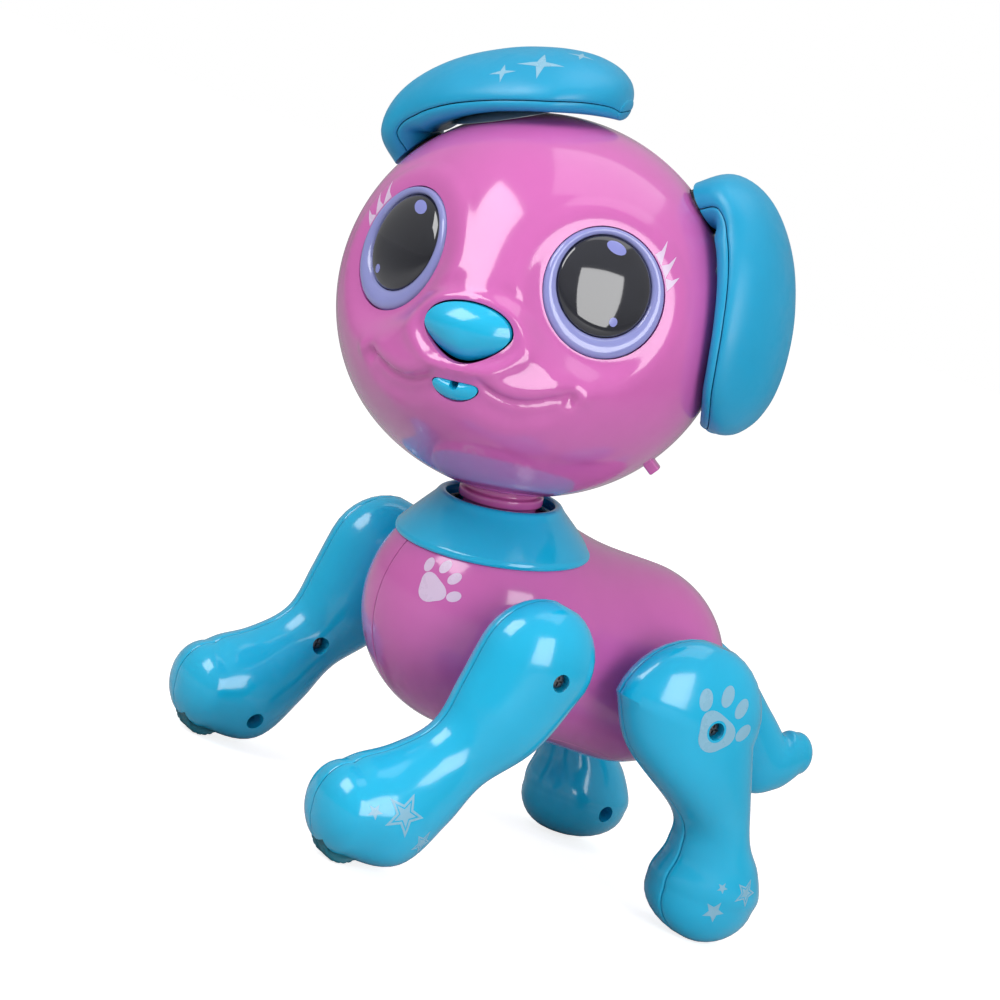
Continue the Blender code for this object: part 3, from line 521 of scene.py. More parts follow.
def screw_mesh(seat, toward, length):
    """A pan-head cross screw whose head sits on seat and points back along toward."""
    head_height = 1.5 * MM
    shank = 1.0 * MM
    profile = [(SCREW_HEAD_RADIUS * across, head_height * up) for across, up in
               ((0, 1), (0.62, 1), (0.86, 0.88), (0.97, 0.6), (1, 0.3), (1, 0))]
    pitch = 0.8 * MM
    turns = int((length - shank - 0.4 * MM) / pitch)
    for step in range(turns):
        top = -0.3 * MM - step * pitch
        profile += [(shank * 0.76, top), (shank, top - pitch * 0.5)]
    profile += [(shank * 0.76, -0.3 * MM - turns * pitch), (0, -length)]
    body = turned(profile, 32)
    arm, slot = 1.3 * MM, 0.3 * MM
    for along, across in ((arm, slot), (slot, arm)):
        body = cut(body, block((-along, -across, 0.8 * MM), (along, across, 2 * MM)))
    return moved(body, facing(seat, toward))


def make_collar():
    foot = math.sqrt((CHEST_RADIUS + GAP) ** 2 - COLLAR_FOOT ** 2)
    lip = 1.0 * MM
    outside = [(COLLAR_OPENING, COLLAR_TOP - 2 * lip), (COLLAR_OPENING, COLLAR_TOP),
               (COLLAR_OPENING + 1.9 * MM, COLLAR_TOP),
               (COLLAR_OPENING + 3.2 * MM, COLLAR_TOP - 1.9 * MM),
               (COLLAR_OPENING + 6.4 * MM, COLLAR_TOP - 5.2 * MM),
               (foot + 0.35 * MM, COLLAR_FOOT + 2.0 * MM),
               (foot + 0.7 * MM, COLLAR_FOOT + 0.9 * MM),
               (foot + 0.2 * MM, COLLAR_FOOT), (foot - 1 * MM, COLLAR_FOOT)]
    profile = round_profile(outside, 0.9 * MM, 4)
    profile += [(foot - 3 * MM, COLLAR_FOOT), (19.4 * MM, 26 * MM),
                (COLLAR_OPENING + 0.4 * MM, 30 * MM)]
    ring = turned(profile, 128, NECK)
    ring = cut(ring, body_full(-GAP))
    for sign in (1, -1):
        low, high = sorted((sign * 12.6 * MM, sign * 16.6 * MM))
        ring = join(ring, block((low, -4 * MM, NOD_HEIGHT - 4 * MM), (high, 4 * MM, 30.5 * MM),
                                NECK))
    pin = Vector((17.5, 0, 0)) * MM
    ring = cut(ring, rod(UP * NOD_HEIGHT + pin, UP * NOD_HEIGHT - pin, 3.1 * MM, 32, NECK))
    piece("collar_moulding", ring, BLUE, "body", "blue_plastic", "collar")


def make_neck_post():
    floor = (NECK_HEIGHT - HEAD_RADII[2]) / MM
    steps = [(0, floor + 9.4), (9, floor + 9.4), (9, floor + 7.2), (15.5, floor + 7.2),
             (15.5, floor + 5.2), (10.4, floor + 5.2), (10.4, floor - 0.3), (12, floor - 0.6),
             (12, floor - 3), (10.5, floor - 3.4), (10.5, 12), (7, 7), (0, 7)]
    profile = round_profile([(radius * MM, height * MM) for radius, height in steps], 0.45 * MM)
    post = turned(profile, 96, NECK)
    pin = Vector((16.2 * MM, 0, 0))
    post = join(post, rod(UP * NOD_HEIGHT - pin, UP * NOD_HEIGHT + pin, 2.8 * MM, 32, NECK))
    piece("neck_post_moulding", post, PINK, "neck", "pink_plastic", "neck_post")


# ---- head ---------------------------------------------------------------------------
BUMPS = (                                        # side, rise, spread (degrees), height (mm)
    (0, -12, 17, 10.5),                          # muzzle
    (30, -24, 17, 2.6), (-30, -24, 17, 2.6),     # cheeks
    (39, 18, 14, -5.5), (-39, 18, 14, -5.5),     # the flatter ground round each eye
    (0, 42, 26, 0.8),                            # forehead
    (36, -9, 10, 1.2), (-36, -9, 10, 1.2),       # jowls
)
SMILE = ((0, 5, 8, 11, 14.4, 17.5, 20.5, 24, 28),
         (-8.6, -9.6, -11.4, -12.9, -13.9, -14.0, -13.6, -12.8, -12.0))     # side, rise
LEDGE = ((0, 8, 16, 24, 32, 40), (12.5, 11.0, 6.6, 1.6, -2.6, -4.5))        # side, rise


def direction(side, rise):
    return Vector((math.sin(side) * math.cos(rise), -math.cos(side) * math.cos(rise),
                   math.sin(rise)))


def smooth(low, high, value):
    t = np.clip((value - low) / (high - low), 0, 1)
    return t * t * (3 - 2 * t)


def hump(distance, width):
    return np.exp(-(distance / width) ** 2)


def face_detail(ways):
    """Lip, smile, dimples, nose surround and the ledges under the eyes, in mm."""
    side = np.abs(np.degrees(np.arctan2(ways[:, 0], -ways[:, 1])))
    rise = np.degrees(np.arcsin(np.clip(ways[:, 2], -1, 1)))
    above = rise - np.interp(side, *SMILE)
    along = 1 - smooth(23, 31, side)
    height = -1.35 * hump(above + 0.3, 1.25) * along * smooth(4.5, 8, side)
    height += 0.85 * hump(above - 3.0, 3.0) * along
    height -= 1.0 * hump(above + 3.6, 3.2) * along
    height -= 1.5 * hump(np.hypot(side - 29.3, rise + 12.6), 2.0)
    height += 0.8 * hump(np.hypot(side - 33.0, rise + 12.0), 2.6)
    height += 0.5 * hump(np.hypot(side - 21, rise + 19), 5)
    oval = np.hypot(side / 12.4, (rise - 0.6) / 6.6)
    height += 0.75 * hump(oval - 1.30, 0.22) - 0.5 * hump(oval - 1.0, 0.12)
    ledge = rise - np.interp(side, *LEDGE)
    reach = smooth(2, 9, side) * (1 - smooth(30, 44, side))
    height += (-0.9 * hump(ledge - 0.6, 2.4) + 0.5 * hump(ledge + 4.0, 3.4)) * reach
    height[ways[:, 1] > 0] = 0
    return height * MM


def head_radius(ways, detail=True, sockets=True):
    """How far the head's skin is from its middle, along each way."""
    ways = np.atleast_2d(np.asarray(ways, dtype=float))
    base = 1 / np.sqrt(((ways / np.array(HEAD_RADII)) ** 2).sum(axis=1))
    for side, rise, spread, height in BUMPS:
        aim = np.array(direction(math.radians(side), math.radians(rise)))
        angle = np.degrees(np.arccos(np.clip(ways @ aim, -1, 1)))
        base = base + height * MM * np.exp(-0.5 * (angle / spread) ** 2)
    if detail:
        base = base + face_detail(ways)
    if sockets:
        for way, distance in EYE_PLANES:
            facing_it = np.clip(ways @ np.array(way), 0.6, 1)
            share = 1 - smooth(20.0, 29.0, np.degrees(np.arccos(facing_it)))
            base = base * (1 - share) + share * (distance - 0.45 * MM) / facing_it
    return base


def plain_radius(way):
    return float(head_radius(way, False, False)[0])


EYE_PLANES = [(way, plain_radius(way)) for way in
              (direction(sign * EYE_SIDE, EYE_RISE) for sign in (1, -1))]


def head_shell(front, rows=120, columns=256):
    """Face or rear shell: rings from the pole out to the seam, and back inside."""
    sign = -1 if front else 1
    seam = HEAD_SEAM + sign * GAP / 2
    around = np.linspace(0, 2 * math.pi, columns, endpoint=False)

    def ways(polar):
        return np.stack([np.sin(polar) * np.cos(around), sign * np.cos(polar),
                         np.sin(polar) * np.sin(around)], axis=1)

    low, high = np.full(columns, 0.9), np.full(columns, 2.2)
    for _ in range(40):
        middle = (low + high) / 2
        y = ways(middle)[:, 1] * head_radius(ways(middle), False)
        past = (y > seam) if front else (y < seam)
        high = np.where(past, middle, high)
        low = np.where(past, low, middle)
    limit = (low + high) / 2
    close = np.array([0.7, 0.4, 0.18, 0.0]) * MM
    outer, inner = [], []
    fractions = list(np.linspace(0.006, 0.985, rows))
    for fraction in fractions + list(close):
        if len(outer) < rows:
            polar = limit * fraction
            drop = 0
        else:
            polar = limit - fraction / (54 * MM)
            drop = 0.35 * MM * (1 - fraction / (0.7 * MM)) ** 2
        way = ways(polar)
        outer.append(way * (head_radius(way) - drop)[:, None])
        inner.append(way * (head_radius(way, False) - WALL)[:, None])
    form = skin(outer + inner[::-1])
    return mesh_of(form)


def outline_points(half_width, half_height, pinch, flat, count=72):
    """An oval that is narrower below by pinch and lower on top by flat."""
    points = []
    for angle in circle(count):
        x, y = math.cos(angle), math.sin(angle)
        x *= 1 - pinch * max(-y, 0) ** 1.3
        y *= 1 - flat * max(y, 0)
        points.append((half_width * x, half_height * y))
    return points


def grown(outline, extra):
    widest = max(abs(x) for x, y in outline)
    tallest = max(abs(y) for x, y in outline)
    return [(x * (1 + extra / widest), y * (1 + extra / tallest)) for x, y in outline]


def eye_frame(sign):
    way = direction(sign * EYE_SIDE, EYE_RISE)
    return facing(way * plain_radius(way), way)


def muzzle_frame(rise, proud):
    way = direction(0, rise)
    return facing(way * (plain_radius(way) + proud), way)


NOSE_FRAME = muzzle_frame(NOSE_RISE, 2.6 * MM)
MOUTH_FRAME = muzzle_frame(MOUTH_RISE, 0.5 * MM)
NOSE_OUTLINE = outline_points(*NOSE_SIZE, 0.30, 0.12)
MOUTH_OUTLINE = outline_points(*MOUTH_SIZE, 0.10, 0.55)
KNOB_WAY = direction(math.radians(96), math.radians(-43))
KNOB_FRAME = facing(KNOB_WAY * plain_radius(KNOB_WAY), KNOB_WAY)


def ear_frame(sign):
    out = Vector((sign * math.cos(EAR_RISE), 0, math.sin(EAR_RISE)))
    down = Vector((sign * math.sin(EAR_RISE), 0, -math.cos(EAR_RISE)))
    turn = Matrix((down, out.cross(down), out)).transposed().to_4x4()
    return Matrix.Translation((0, HEAD_SEAM, 0)) @ turn


def make_head():
    for label, front in (("face", True), ("rear", False)):
        shell = head_shell(front)
        tools = [rod((0, 0, -70 * MM), (0, 0, -30 * MM), 10.8 * MM, 64)]
        for sign in (1, -1):
            tools.append(rod(UP * 30 * MM, UP * 80 * MM, PIVOT_RADIUS + GAP, 64, ear_frame(sign)))
        slot = Vector((2.2 * MM + KNOB_TRAVEL, 2.0 * MM, 8 * MM))
        tools.append(block(-slot, slot, KNOB_FRAME))
        if front:
            for sign in (1, -1):
                tools.append(rod(UP * -12 * MM, UP * 20 * MM, EYE_RADIUS + 0.15 * MM, 128,
                                 eye_frame(sign)))
            tools.append(prism(grown(NOSE_OUTLINE, 0.5 * MM), -14 * MM, 14 * MM, NOSE_FRAME))
            tools.append(prism(grown(MOUTH_OUTLINE, GAP), -10 * MM, 10 * MM, MOUTH_FRAME))
        shell = moved(cut(shell, *tools), HEAD)
        piece(f"head_{label}_moulding", shell, PINK, "head", "pink_plastic", f"head_{label}_shell")


def eye_rim():
    """A ring whose hole sits high, with a rolled outer edge and a dished inner slope."""
    section = [(0.0, -5.0), (0.0, -1.5), (0.03, -0.75), (0.10, -0.2), (0.22, 0.22), (0.40, 0.40),
               (0.60, 0.36), (0.80, 0.12), (0.94, -0.25), (1.0, -0.7), (1.0, -5.0)]
    rings = []
    for angle in circle(128):
        way = Vector((math.cos(angle), math.sin(angle)))
        outer = way * EYE_RADIUS
        inner = way * (LENS_RADIUS + 0.2 * MM) + Vector((0, LENS_LIFT))
        rings.append([(*(outer.lerp(inner, t)), h * MM) for t, h in section])
    return mesh_of(looped(rings))


def dome_grid(outline, frame_matrix, depth, crown, rings=14, power=2.3):
    """A crowned plug with the given outline; its front bulges from a rounded edge."""
    rows = [[(x * 0.985, y * 0.985, -depth) for x, y in outline],
            [(x, y, -crown - 0.5 * MM) for x, y in outline]]
    for step in range(rings + 1):
        t = step / rings
        size = math.cos(math.pi / 2 * t * 0.97)
        height = -crown * size ** power
        rows.append([(x * size, y * size, height) for x, y in outline])
    return mesh_of(skin(rows), frame_matrix)


def make_eyes():
    for side, sign in SIDES:
        place = HEAD @ eye_frame(sign)
        piece(f"{side}_eye_rim_moulding", moved(eye_rim(), place), LILAC, "head",
              "lilac_plastic", f"{side}_eye_rim")
        profile = [(0, 2.0 * MM)]
        for step in range(1, 25):
            angle = math.pi / 2 * step / 25
            profile.append((LENS_RADIUS * math.sin(angle), 2.8 * MM * math.cos(angle) - 0.8 * MM))
        profile += [(LENS_RADIUS, -0.9 * MM), (LENS_RADIUS, -3.2 * MM), (0, -3.2 * MM)]
        lens_place = place @ Matrix.Translation((0, LENS_LIFT, 0))
        piece(f"{side}_eye_lens_moulding", turned(profile, 128, lens_place), LENS, "head",
              "lens_plastic", f"{side}_eye_lens")


def make_muzzle():
    button = dome_grid(NOSE_OUTLINE, HEAD @ NOSE_FRAME, 9 * MM, 4.4 * MM)
    piece("nose_button_moulding", button, BLUE, "nose", "blue_plastic", "nose_button")
    insert = dome_grid(MOUTH_OUTLINE, HEAD @ MOUTH_FRAME, 5 * MM, 1.6 * MM)
    top = Vector((0, 1.0 * MM, 0))
    insert = cut(insert, rod(top + UP * 0.01, top - UP * 0.01, 1.2 * MM, 32, HEAD @ MOUTH_FRAME))
    piece("mouth_insert_moulding", insert, BLUE, "head", "blue_plastic", "mouth_insert")


def make_knob():
    form = bmesh.new()
    bmesh.ops.create_cube(form, size=1)
    bmesh.ops.scale(form, vec=Vector((4, 3.2, 6.6)) * MM, verts=form.verts)
    bmesh.ops.translate(form, vec=(0, 0, -0.1 * MM), verts=form.verts)
    bmesh.ops.bevel(form, geom=form.edges[:], offset=0.55 * MM, segments=4, affect="EDGES",
                    profile=0.5)
    knob = mesh_of(form)
    for x in (-0.8, 0, 0.8):
        knob = cut(knob, block((x * MM - 0.14 * MM, -1.15 * MM, 2.95 * MM),
                               (x * MM + 0.14 * MM, 1.15 * MM, 4 * MM)))
    piece("power_switch_knob_moulding", moved(knob, HEAD @ KNOB_FRAME), PINK, "power_knob",
          "pink_plastic", "power_switch_knob")


# ---- limbs --------------------------------------------------------------------------
# A key is x, y, z, tilt in degrees, half depth and half width, in mm from the pivot.
def smooth_rows(keys, per_span):
    """Rows on a Catmull-Rom curve through the keys."""
    keys = np.array(keys, dtype=float)
    padded = np.vstack([2 * keys[0] - keys[1], keys, 2 * keys[-1] - keys[-2]])
    rows = []
    for i in range(len(keys) - 1):
        before, start, end, after = padded[i:i + 4]
        for step in range(per_span):
            t = step / per_span
            rows.append(0.5 * (2 * start + (end - before) * t
                               + (2 * before - 5 * start + 4 * end - after) * t ** 2
                               + (3 * start - before - 3 * end + after) * t ** 3))
    rows.append(keys[-1])
    return rows


def dome_rows(row, reach, outward, steps=9, top=86):
    """Rows that close a limb's end off as a dome."""
    x, y, z, tilt, half_depth, half_width = row
    rows = []
    for step in range(1, steps + 1):
        angle = math.radians(top) * step / steps
        grow = outward * reach * math.sin(angle)
        rows.append((x * math.cos(angle), y + grow * math.sin(tilt), z - grow * math.cos(tilt),
                     tilt, half_depth * math.cos(angle), half_width * math.cos(angle)))
    return rows


def limb_rows(keys, domes, per_span=8):
    rows = [(x * MM, y * MM, z * MM, math.radians(tilt), depth * MM, width * MM)
            for x, y, z, tilt, depth, width in keys]
    middle = [tuple(row) for row in smooth_rows(rows, per_span)]
    start, end = (reach * MM for reach in domes)
    before = dome_rows(middle[0], start, -1)[::-1] if start > 0 else []
    return before + middle + dome_rows(middle[-1], end, 1)


def section_point(row, angle, power, drop=0.0):
    """A point on a row's superellipse, drop inside it."""
    x, y, z, tilt, half_depth, half_width = row
    across = math.copysign(abs(math.sin(angle)) ** (2 / power), math.sin(angle)) * half_width
    along = math.copysign(abs(math.cos(angle)) ** (2 / power), math.cos(angle)) * half_depth
    size = math.hypot(across, along)
    shrink = 1 - min(drop, size * 0.5) / size
    across, along = across * shrink, along * shrink
    return (x + across, y + along * math.cos(tilt), z + along * math.sin(tilt))


SEAM_STEPS = ((0, 0.34), (0.22, 0.12), (0.5, 0.02), (0.9, 0))    # distance, drop (mm)


def seamed_angles(first, last, radius_first, radius_last, count):
    """Angles from first to last, close together at both ends, each with its drop."""
    smallest = SEAM_STEPS[-1][0] * MM / (0.35 * (last - first))
    radius_first = max(radius_first, smallest)
    radius_last = max(radius_last, smallest)
    start = [(first + d * MM / radius_first, drop * MM) for d, drop in SEAM_STEPS]
    stop = [(last - d * MM / radius_last, drop * MM) for d, drop in SEAM_STEPS]
    middle = np.linspace(start[-1][0], stop[-1][0], count)[1:-1]
    return start + [(angle, 0.0) for angle in middle] + stop[::-1]


def split_limb(rows, sign, count=44, power=2.0, edge=GAP / 2):
    """The part of a limb on one side of x = 0, as a solid."""
    rings = []
    for row in rows:
        x, half_width, half_depth = row[0], row[5], row[4]
        if sign * x + half_width < edge + 1.0 * MM:
            continue
        share = max(-0.97, min(0.97, (sign * edge - x) / half_width))
        first = math.asin(math.copysign(abs(share) ** (power / 2), share))
        near = max(half_width * math.cos(first), 0.3 * half_width)
        if sign > 0:
            spread = seamed_angles(first, math.pi - first, near, near, count)
        else:
            spread = seamed_angles(math.pi - first, 2 * math.pi + first, near, near, count)
        ring = []
        for angle, drop in spread:
            point = section_point(row, angle, power, min(drop, 0.2 * half_depth))
            keep = max(point[0] * sign, edge) * sign
            ring.append((keep, point[1], point[2]))
        rings.append(ring)
    return mesh_of(skin(rings))


def full_limb(rows, count=64, power=2.0):
    rings = [[section_point(row, angle, power) for angle in circle(count)] for row in rows]
    return mesh_of(skin(rings))


FRONT_LEG = (
    (0, -2.4, 1.0, -10, 17.4, 12.5),
    (0, -7.2, -15.2, -24, 15.4, 11.8),
    (0, -14.4, -28.4, -36, 11.4, 10.0),
    (0, -21.8, -39.2, -40, 13.6, 11.8),
    (0, -30.8, -48.6, -56, 16.4, 14.6),
    (0, -41.5, -50.5, -80, 12.6, 13.5),
)
FRONT_DOMES = (18, 9.5)
REAR_LEG = (
    (0, -3.0, -1.0, -4, 24.6, 12.0),
    (-0.8, 6.2, -16.5, -8, 23.4, 12.2),
    (-2.2, 21.6, -29.5, -5, 13.6, 11.0),
    (-3.4, 27.4, -38.0, 0, 14.8, 12.2),
    (-4.4, 29.2, -46.0, 1, 17.8, 13.9),
    (-4.8, 29.4, -50.5, 0, 17.6, 13.8),
)
REAR_DOMES = (23, 12.5)
FRONT_SCREWS = ((-15.5, -28.5), (-28.5, -54.5))
REAR_SCREWS = ((33.5, -50.0),)


def make_leg(name, pivot, sign, keys, domes, screws):
    """Two half shells with sunk screw holes, and the screws in them."""
    place = DOG @ Matrix.Translation((pivot.x * sign, pivot.y, pivot.z))
    if sign < 0:
        place = place @ MIRROR
    half_width = keys[0][5] * MM
    reach = half_width + 2 * MM
    seats = [((0.0, 0.0), 1, half_width - 4.0 * MM)] + [(spot, -1, 5.0 * MM) for spot in screws]
    rows = limb_rows(keys, domes)
    for label, half in (("outer", 1), ("inner", -1)):
        shell = split_limb(rows, half)
        tools = []
        for (y, z), face, depth in seats:
            centre = Vector((0, y, z)) * MM
            seat = centre + LEFT * face * depth
            if face == half:
                tools.append(rod(centre + LEFT * face * (reach + 10 * MM), seat,
                                 SCREW_HEAD_RADIUS + 0.4 * MM, 48))
            tools.append(rod(seat + LEFT * face * 0.5 * MM, centre - LEFT * face * 3.5 * MM,
                             1.3 * MM, 24))
        tools.append(rod((-4.9 * MM, 0, 0), (-reach, 0, 0), PIVOT_RADIUS + GAP - 2 * MM, 48))
        if keys is FRONT_LEG:
            side = LEFT * (ROLLER_HALF_WIDTH + 0.6 * MM)
            tools.append(rod(ROLLER_AT - side, ROLLER_AT + side, ROLLER_RADIUS + 0.8 * MM, 64))
            side = LEFT * 8.2 * MM
            tools.append(rod(ROLLER_AT - side, ROLLER_AT + side, 1.8 * MM, 24))
        shell = moved(cut(shell, *tools), place)
        piece(f"{name}_{label}_moulding", shell, BLUE, name, "blue_plastic",
              f"{name}_{label}_shell")
    for index, ((y, z), face, depth) in enumerate(seats):
        seat = Vector((face * (depth + GAP), y * MM, z * MM))
        mesh = screw_mesh(seat, LEFT * face, depth + 2.5 * MM)
        piece(f"{name}_screw_{index + 1}_fine", moved(mesh, place), STEEL, name, "steel",
              f"{name}_screw_{index + 1}")
    return place


def make_roller(name, leg_place):
    """A small wheel with a ribbed tread on its axle."""
    half, ribs, per_rib = ROLLER_HALF_WIDTH, 24, 6
    section = [(0.30, 1.0), (0.62, 1.0), (0.70, 0.93), (0.80, 0.93), (0.88, 1.0), (0.965, 0.93),
               (1.0, 0.72), (1.0, 0.24), (0.955, 0.14), (0.955, -0.14), (1.0, -0.24), (1.0, -0.72),
               (0.965, -0.93), (0.88, -1.0), (0.80, -0.93), (0.70, -0.93), (0.62, -1.0),
               (0.30, -1.0)]
    rings = []
    for angle in circle(ribs * per_rib):
        tread = 1 - 0.035 * (0.5 - 0.5 * math.cos(ribs * angle)) ** 2
        ring = []
        for size, across in section:
            radius = ROLLER_RADIUS * (size * tread if size > 0.9 else size)
            ring.append((across * half, radius * math.cos(angle), radius * math.sin(angle)))
        rings.append(ring)
    hub = LEFT * half * 1.02
    axle = LEFT * 7.6 * MM
    wheel = join(mesh_of(looped(rings)), rod(-hub, hub, 2.2 * MM), rod(-axle, axle, 1.4 * MM, 40))
    place = leg_place @ Matrix.Translation(ROLLER_AT)
    piece(f"{name}_roller_moulding", moved(wheel, place), TEAL, f"{name}_roller", "teal_rubber",
          f"{name}_roller")


TAIL = (
    (0, 3.0, 0.0, 79, 4.6, 4.4),
    (0, 15.0, -7.0, 58, 6.2, 5.2),
    (0, 27.0, -18.5, 50, 8.6, 6.2),
    (0, 37.0, -27.5, 70, 10.4, 6.8),
    (0, 43.6, -25.6, 92, 9.6, 6.2),
    (0, 48.2, -22.2, 112, 6.8, 4.9),
)


def make_tail():
    blade = full_limb(limb_rows(TAIL, (2, 5), 10))
    blade = join(blade, rod(Vector((0, -5, 0)) * MM, Vector((0, 8, -1.5)) * MM, 3.4 * MM, 48))
    piece("tail_moulding", moved(blade, DOG @ Matrix.Translation(TAIL_PIN)), BLUE, "tail",
          "blue_plastic", "tail")


# ---- ears ---------------------------------------------------------------------------
EAR_ROWS = (                                     # degrees round the head, half sizes (mm)
    (9, 7.7, 18.5),
    (20, 7.8, 23.5),
    (32, 7.5, 26.6),
    (42, 7.3, 26.8),
    (50, 7.1, 24.8),
    (56, 6.5, 20.2),
    (60, 5.5, 15.0),
    (62.2, 4.4, 10.4),
    (63.6, 3.0, 6.2),
)
PAD_RADIUS = 13 * MM
EAR_POWER = 2.3                                  # of the section's superellipse
EAR_CUP = 64 * MM                                # how strongly the ear hugs the head


def ear_keys():
    """The pivot's block, then the flap that follows the head's curve."""
    keys = [(0, -0.8, 55.4, 178, 7.0, 11.0), (0, 1.5, 60.8, 140, 7.6, 14.5)]
    for angle, half_thickness, half_width in EAR_ROWS:
        turn = math.radians(angle)
        radius = EAR_INSIDE / MM + half_thickness
        keys.append((0, radius * math.sin(turn), radius * math.cos(turn), 90 - angle,
                     half_thickness, half_width))
    return keys


def ear_half(outer):
    """One half of the ear, split along the middle of its thickness."""
    rings = []
    for row in limb_rows(ear_keys(), (0, 0.9)):
        base = -math.pi / 2 if outer else math.pi / 2
        near = max(row[4], 1.0 * MM)
        spread = seamed_angles(base, base + math.pi, near, near, 46)
        ring = []
        for angle, drop in spread:
            point = Vector(section_point(row, angle, EAR_POWER, min(drop, 0.2 * row[5])))
            away = Vector((0, math.cos(row[3]), math.sin(row[3])))
            cupped = min(1, max(0, (math.radians(140) - row[3]) / math.radians(60)))
            point -= away * cupped * point.x ** 2 / (2 * EAR_CUP)
            ring.append(point + away * (GAP / 2 if outer else -GAP / 2))
        rings.append(ring)
    mesh = mesh_of(skin(rings))
    return moved(mesh, Matrix.Rotation(-math.pi / 2, 4, "Z"))


def pad_window(radius):
    """The long round hole in the ear's inner shell that the pad fills."""
    window = Matrix.Rotation(math.radians(33), 4, "Y") @ Matrix.Scale(1.45, 4, LEFT)
    return rod(UP * 45 * MM, UP * 61 * MM, radius, 96, window)


def pad_flange():
    """The grey plate between ear and head, thicker toward its sides."""
    tops, lows = [], []
    for step in range(33):
        angle = math.radians(13 + 38 * step / 32)
        half = 21.5 * MM * math.sqrt(max(0.02, 1 - ((step - 16) / 16.3) ** 2))
        top, low = [], []
        for k in range(33):
            across = half * math.sin(math.pi / 2 * (k - 16) / 16)
            upper = EAR_INSIDE - across ** 2 / (2 * EAR_CUP) - 0.08 * MM
            lower = math.sqrt((54.7 * MM) ** 2 - across ** 2) + 1.7 * MM
            edge = min(1, (1 - abs(k - 16) / 16) * 5)
            lower = min(upper - 0.15 * MM, lower + (upper - lower) * 0.25 * (1 - edge))
            for row, radius in ((top, upper), (low, lower)):
                row.append((radius * math.sin(angle), across, radius * math.cos(angle)))
        tops.append(top)
        lows.append(low)
    return mesh_of(skin([top + low[::-1] for top, low in zip(tops, lows)]))


def make_ear(side, sign, flip):
    frame_turn = ear_frame(1) @ Matrix.Rotation(flip, 4, "Z")
    frame_turn.translation = Vector((0, 0, 0))
    place = HEAD @ Matrix.Translation((0, HEAD_SEAM, 0))
    if sign < 0:
        place = place @ MIRROR
    place = place @ frame_turn
    bore = PIVOT_RADIUS - 1.5 * MM + GAP
    outer = cut(ear_half(True), rod(UP * 30 * MM, UP * 60.4 * MM, bore, 48))
    inner = cut(ear_half(False), rod(UP * 30 * MM, UP * 64 * MM, bore, 48))
    pad = common(inner.copy(), pad_window(PAD_RADIUS))
    inner = cut(inner, pad_window(PAD_RADIUS + GAP))
    slot = ellipse(0, 0, 9.5 * MM, 2.3 * MM, count=40)
    middle = Matrix.Rotation(math.radians(36), 4, "Y")
    pad = cut(pad, prism(slot, 50 * MM, 57.2 * MM, middle))
    plug = prism(grown(slot, -0.25 * MM), 55.2 * MM, 58.0 * MM, middle)
    ear = f"{side}_ear"
    for label, shell in (("outer", outer), ("inner", inner)):
        piece(f"{ear}_{label}_moulding", moved(shell, place), SOFT_BLUE, ear,
              "soft_blue_plastic", f"{ear}_{label}_shell")
    piece(f"{ear}_pad_moulding", moved(pad, place), GREY, ear, "grey_plastic", f"{ear}_pad")
    piece(f"{ear}_pad_slot", moved(plug, place), TEAL, ear, "teal_rubber")
    piece(f"{ear}_pad_flange", moved(pad_flange(), place), GREY, ear, "grey_plastic")


# ---- prints -------------------------------------------------------------------------
def flat_fill(outlines):
    """A filled 2D figure from outlines; an outline inside another is a hole."""
    curve = bpy.data.curves.new("figure", "CURVE")
    curve.dimensions = "2D"
    curve.fill_mode = "FRONT"
    for outline in outlines:
        spline = curve.splines.new("POLY")
        spline.points.add(len(outline) - 1)
        for point, (x, y) in zip(spline.points, outline):
            point.co = (x, y, 0, 1)
        spline.use_cyclic_u = True
    drawn = bpy.data.objects.new("figure", curve)
    scene.collection.objects.link(drawn)
    bpy.context.view_layer.update()
    evaluated = drawn.evaluated_get(bpy.context.evaluated_depsgraph_get())
    mesh = bpy.data.meshes.new_from_object(evaluated)
    bpy.data.objects.remove(drawn, do_unlink=True)
    form = bmesh.new()
    form.from_mesh(mesh)
    bpy.data.meshes.remove(mesh)
    bmesh.ops.remove_doubles(form, verts=form.verts, dist=0.000005)
    return form


def surface_tree(*names):
    """The surface of some pieces, for prints to lie on."""
    points, faces = [], []
    for item in (bpy.data.objects[name] for name in names):
        start = len(points)
        points += [vert.co.copy() for vert in item.data.vertices]
        faces += [tuple(start + i for i in face.vertices) for face in item.data.polygons]
    return BVHTree.FromPolygons(points, faces)


